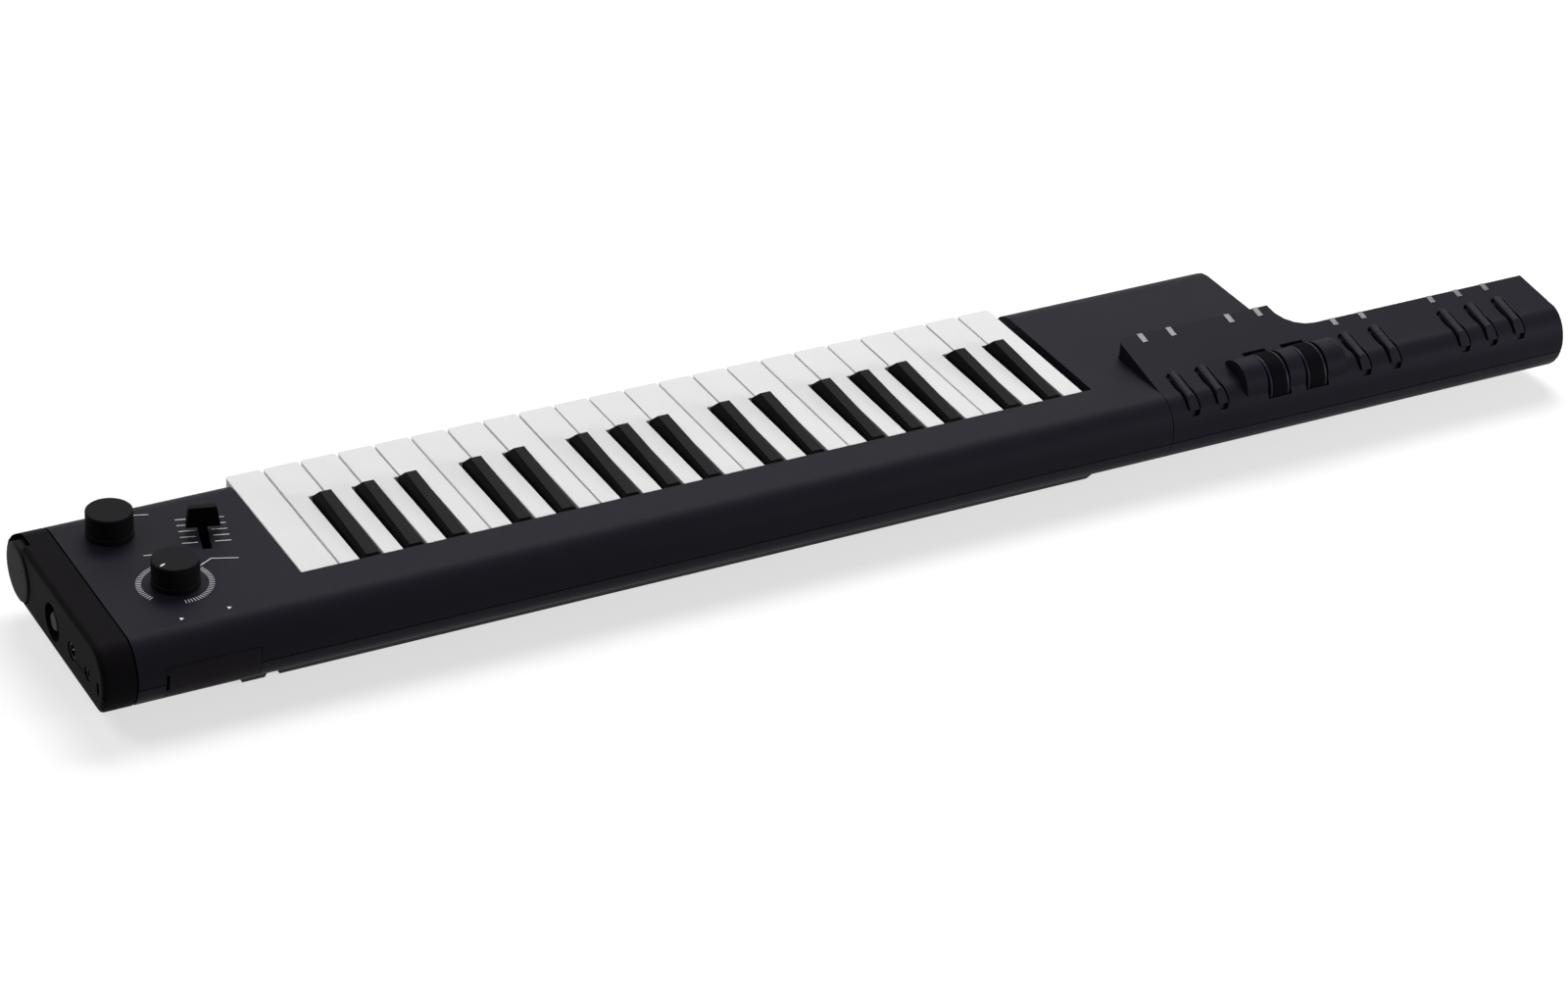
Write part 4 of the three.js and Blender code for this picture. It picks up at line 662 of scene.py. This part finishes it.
for node, x in (("finger_wheel_1", 686.8), ("finger_wheel_2", 711.8)):
    shape = spun(wheel_profile, RIB_STEPS)
    flute(shape, -BAND_HALF, BAND_HALF, WHEEL_RADIUS - BARREL_SKIN, RIB_STEPS, RIB_DEPTH)
    for face in shape.faces:
        middle = face.calc_center_median()
        on_band = abs(middle.z) < mm(BAND_HALF) and math.hypot(middle.x, middle.y) > mm(BAND_FLOOR)
        face.material_index = 1 if on_band else 0
    put(shape, at(x, WHEEL_Y, WHEEL_Z), ALONG_X)
    finishes = [wheel_rim, wheel_band]
    piece_from(shape, "look_" + node, finishes, body_of_node[node], [node], TURNED_SHARP_DEGREES)

# %% [markdown]
# The panel is printed with a ring of fine strokes round the effect knob, a ladder of lines beside the
# lever, a few leaders and two small triangles. Each stroke is a very thin block of ink that lies on
# the panel, as screen-printed ink does.

# %% Printed marks
STROKE, FINE_STROKE = 0.4, 0.3
ink = bmesh.new()


def stroke(shape, start, end, width, base):
    """One printed stroke between two places on a flat surface at a height, in millimetres."""
    run = Vector((end[0] - start[0], end[1] - start[1]))
    middle = at((start[0] + end[0]) / 2, (start[1] + end[1]) / 2, base + INK_HEIGHT / 2)
    size = Matrix.Diagonal((mm(run.length), mm(width), mm(INK_HEIGHT), 1.0))
    angle = Matrix.Rotation(math.atan2(run.y, run.x), 4, "Z")
    bmesh.ops.create_cube(shape, size=1.0, matrix=Matrix.Translation(middle) @ angle @ size)


def spoke(shape, x, y, angle, inner, outer, width, base):
    """A stroke that points away from a centre, between two radii."""
    along, across = math.cos(angle), math.sin(angle)
    start = (x + inner * along, y + inner * across)
    end = (x + outer * along, y + outer * across)
    stroke(shape, start, end, width, base)


RING_X, RING_Y, RING_INNER, RING_OUTER = 57.6, 15.9, 16.8, 19.7
RING_TICKS, RING_FIRST, RING_SWEEP = 62, -95.0, 303.0
for tick in range(RING_TICKS):
    angle = math.radians(RING_FIRST + tick * RING_SWEEP / (RING_TICKS - 1))
    spoke(ink, RING_X, RING_Y, angle, RING_INNER, RING_OUTER, FINE_STROKE, PANEL_TOP)

LADDER_START = (74.4, 49.5)
LADDER_ALONG = (0.962, -0.274)
LADDER_UP = (0.22, 0.975)
LADDER_RUNGS, LADDER_PITCH, LADDER_RUN, LADDER_GAP = 5, 5.8, 8.1, 8.6
for rung in range(LADDER_RUNGS):
    foot = [LADDER_START[i] + LADDER_UP[i] * LADDER_PITCH * rung for i in (0, 1)]
    for reach in (0.0, LADDER_RUN + LADDER_GAP):
        begin = [foot[i] + LADDER_ALONG[i] * reach for i in (0, 1)]
        stop = [begin[i] + LADDER_ALONG[i] * LADDER_RUN for i in (0, 1)]
        stroke(ink, begin, stop, STROKE, PANEL_TOP)

leaders = [
    [(75.3, 26.4), (82.4, 30.4), (95.2, 25.5)],
    [(61.7, 84.9), (69.3, 82.4)],
    [(52.6, 46.3), (57.6, 45.1)],
]
for path in leaders:
    for begin, stop in zip(path, path[1:]):
        stroke(ink, begin, stop, STROKE, PANEL_TOP)

TRIANGLE = 1.3
for x, y in ((48.3, -16.0), (73.4, -15.9)):
    place = Matrix.Translation(at(x, y, PANEL_TOP + INK_HEIGHT / 2))
    bmesh.ops.create_cone(
        ink, segments=3, radius1=mm(TRIANGLE), radius2=mm(TRIANGLE), depth=mm(INK_HEIGHT), cap_ends=True,
        matrix=place @ Matrix.Rotation(math.radians(-90), 4, "Z"))
piece_from(ink, "printed_marks", [white_ink], "body", even=False)

POINTER_ANGLE = math.radians(205.0)
POINTER_INNER, POINTER_OUTER, POINTER_WIDTH = 7.5, 10.4, 0.9
pointer = bmesh.new()
spoke(pointer, EFFECT_X, EFFECT_Y, POINTER_ANGLE, POINTER_INNER, POINTER_OUTER, POINTER_WIDTH, KNOB_TOP)
piece_from(pointer, "knob_pointer", [white_ink], "effect", even=False)

# %% [markdown]
# The instrument stands on a plain white sweep under soft light. The floor is pale and takes the
# object's shadow. It glows a little, and more so away from the object, but only for the rays that show
# the background: those from the camera, and those that a surface mirrors or lets through.

# %% Floor
FLOOR_HALF = 6.0
FLOOR_GLOW = 0.64
SWEEP_START, SWEEP_END = 0.7, 2.2
WHITE = linear("ffffff")
PAPER = linear("b0b0b1")


def background_rays(tree):
    """1 for the rays that show the white background: straight, mirrored or through glass."""
    ray = add(tree, "ShaderNodeLightPath")
    either = add(tree, "ShaderNodeMath", {"operation": "MAXIMUM"}, {
        0: ray.outputs["Is Camera Ray"], 1: ray.outputs["Is Glossy Ray"]})
    return add(tree, "ShaderNodeMath", {"operation": "MAXIMUM"}, {
        0: either.outputs["Value"], 1: ray.outputs["Is Transmission Ray"]}).outputs["Value"]


floor_finish, tree, shader = new_finish("studio_floor")
tree.nodes.remove(shader)
paper = add(tree, "ShaderNodeBsdfDiffuse", None, {"Color": PAPER})
place = add(tree, "ShaderNodeTexCoord")
distance = add(tree, "ShaderNodeVectorMath", {"operation": "LENGTH"}, {0: place.outputs["Object"]})
sweep = add(tree, "ShaderNodeMapRange", None, {
    "Value": distance.outputs["Value"], "From Min": SWEEP_START, "From Max": SWEEP_END,
    "To Min": FLOOR_GLOW, "To Max": 1.0})
glow = add(tree, "ShaderNodeEmission", None, {"Color": WHITE, "Strength": sweep.outputs["Result"]})
both = add(tree, "ShaderNodeAddShader", None, {0: paper.outputs["BSDF"], 1: glow.outputs["Emission"]})
seen = add(tree, "ShaderNodeMixShader", None, {
    "Fac": background_rays(tree), 1: paper.outputs["BSDF"], 2: both.outputs["Shader"]})
output = next(node for node in tree.nodes if node.type == "OUTPUT_MATERIAL")
tree.links.new(seen.outputs["Shader"], output.inputs["Surface"])

floor_shape = bmesh.new()
bmesh.ops.create_grid(floor_shape, x_segments=1, y_segments=1, size=FLOOR_HALF)
floor_mesh = bpy.data.meshes.new("studio_floor")
floor_shape.to_mesh(floor_mesh)
floor_shape.free()
floor = bpy.data.objects.new("studio_floor", floor_mesh)
floor_mesh.materials.append(floor_finish)
bpy.context.scene.collection.objects.link(floor)
print("a floor of", 2 * FLOOR_HALF, "m")

# %% [markdown]
# For the same rays the surroundings are white. To everything else they give only a little light, so
# the object is lit by the lamps.

# %% Surroundings
SURROUND_LIGHT = 0.09
world = bpy.data.worlds.new("studio")
world.use_nodes = True
bpy.context.scene.world = world
tree = world.node_tree
tree.nodes.clear()
surround = add(tree, "ShaderNodeBackground", None, {"Color": WHITE, "Strength": SURROUND_LIGHT})
backdrop = add(tree, "ShaderNodeBackground", None, {"Color": WHITE, "Strength": 1.0})
chosen = add(tree, "ShaderNodeMixShader", None, {
    "Fac": background_rays(tree), 1: surround.outputs["Background"], 2: backdrop.outputs["Background"]})
add(tree, "ShaderNodeOutputWorld", None, {"Surface": chosen.outputs["Shader"]})
print("surroundings give", SURROUND_LIGHT, "of the white that the background shows")

# %% [markdown]
# The main softbox hangs above and behind, toward the neck, so the flat tops take its sheen and the
# bullnose that faces the camera stays dark. Three weak ones lift the neck, the near side and the
# cap. They are kept low enough that the white keys keep their shading.


# %% Lamps
def softbox(name, place, target, width, height, watts):
    """A rectangular studio lamp that faces a target."""
    lamp = bpy.data.lights.new(name, "AREA")
    lamp.shape = "RECTANGLE"
    lamp.size = width
    lamp.size_y = height
    lamp.energy = watts
    holder = bpy.data.objects.new(name, lamp)
    holder.location = place
    holder.rotation_mode = "QUATERNION"
    holder.rotation_quaternion = (Vector(target) - Vector(place)).to_track_quat("-Z", "Y")
    bpy.context.scene.collection.objects.link(holder)
    print(name, watts, "W")


softbox("softbox_above", (1.1, 1.8, 3.0), (0.0, 0.0, 0.0), 2.6, 1.8, 122.0)
softbox("softbox_behind", (1.8, 2.2, 1.4), (0.3, 0.0, 0.0), 1.2, 0.8, 2.0)
softbox("softbox_right", (1.6, -1.4, 0.5), (0.3, 0.0, 0.0), 0.7, 0.7, 26.0)
softbox("softbox_left", (-1.4, 0.6, 1.6), (-0.3, 0.0, 0.0), 0.8, 0.8, 10.0)
bpy.context.scene.view_settings.view_transform = "Standard"
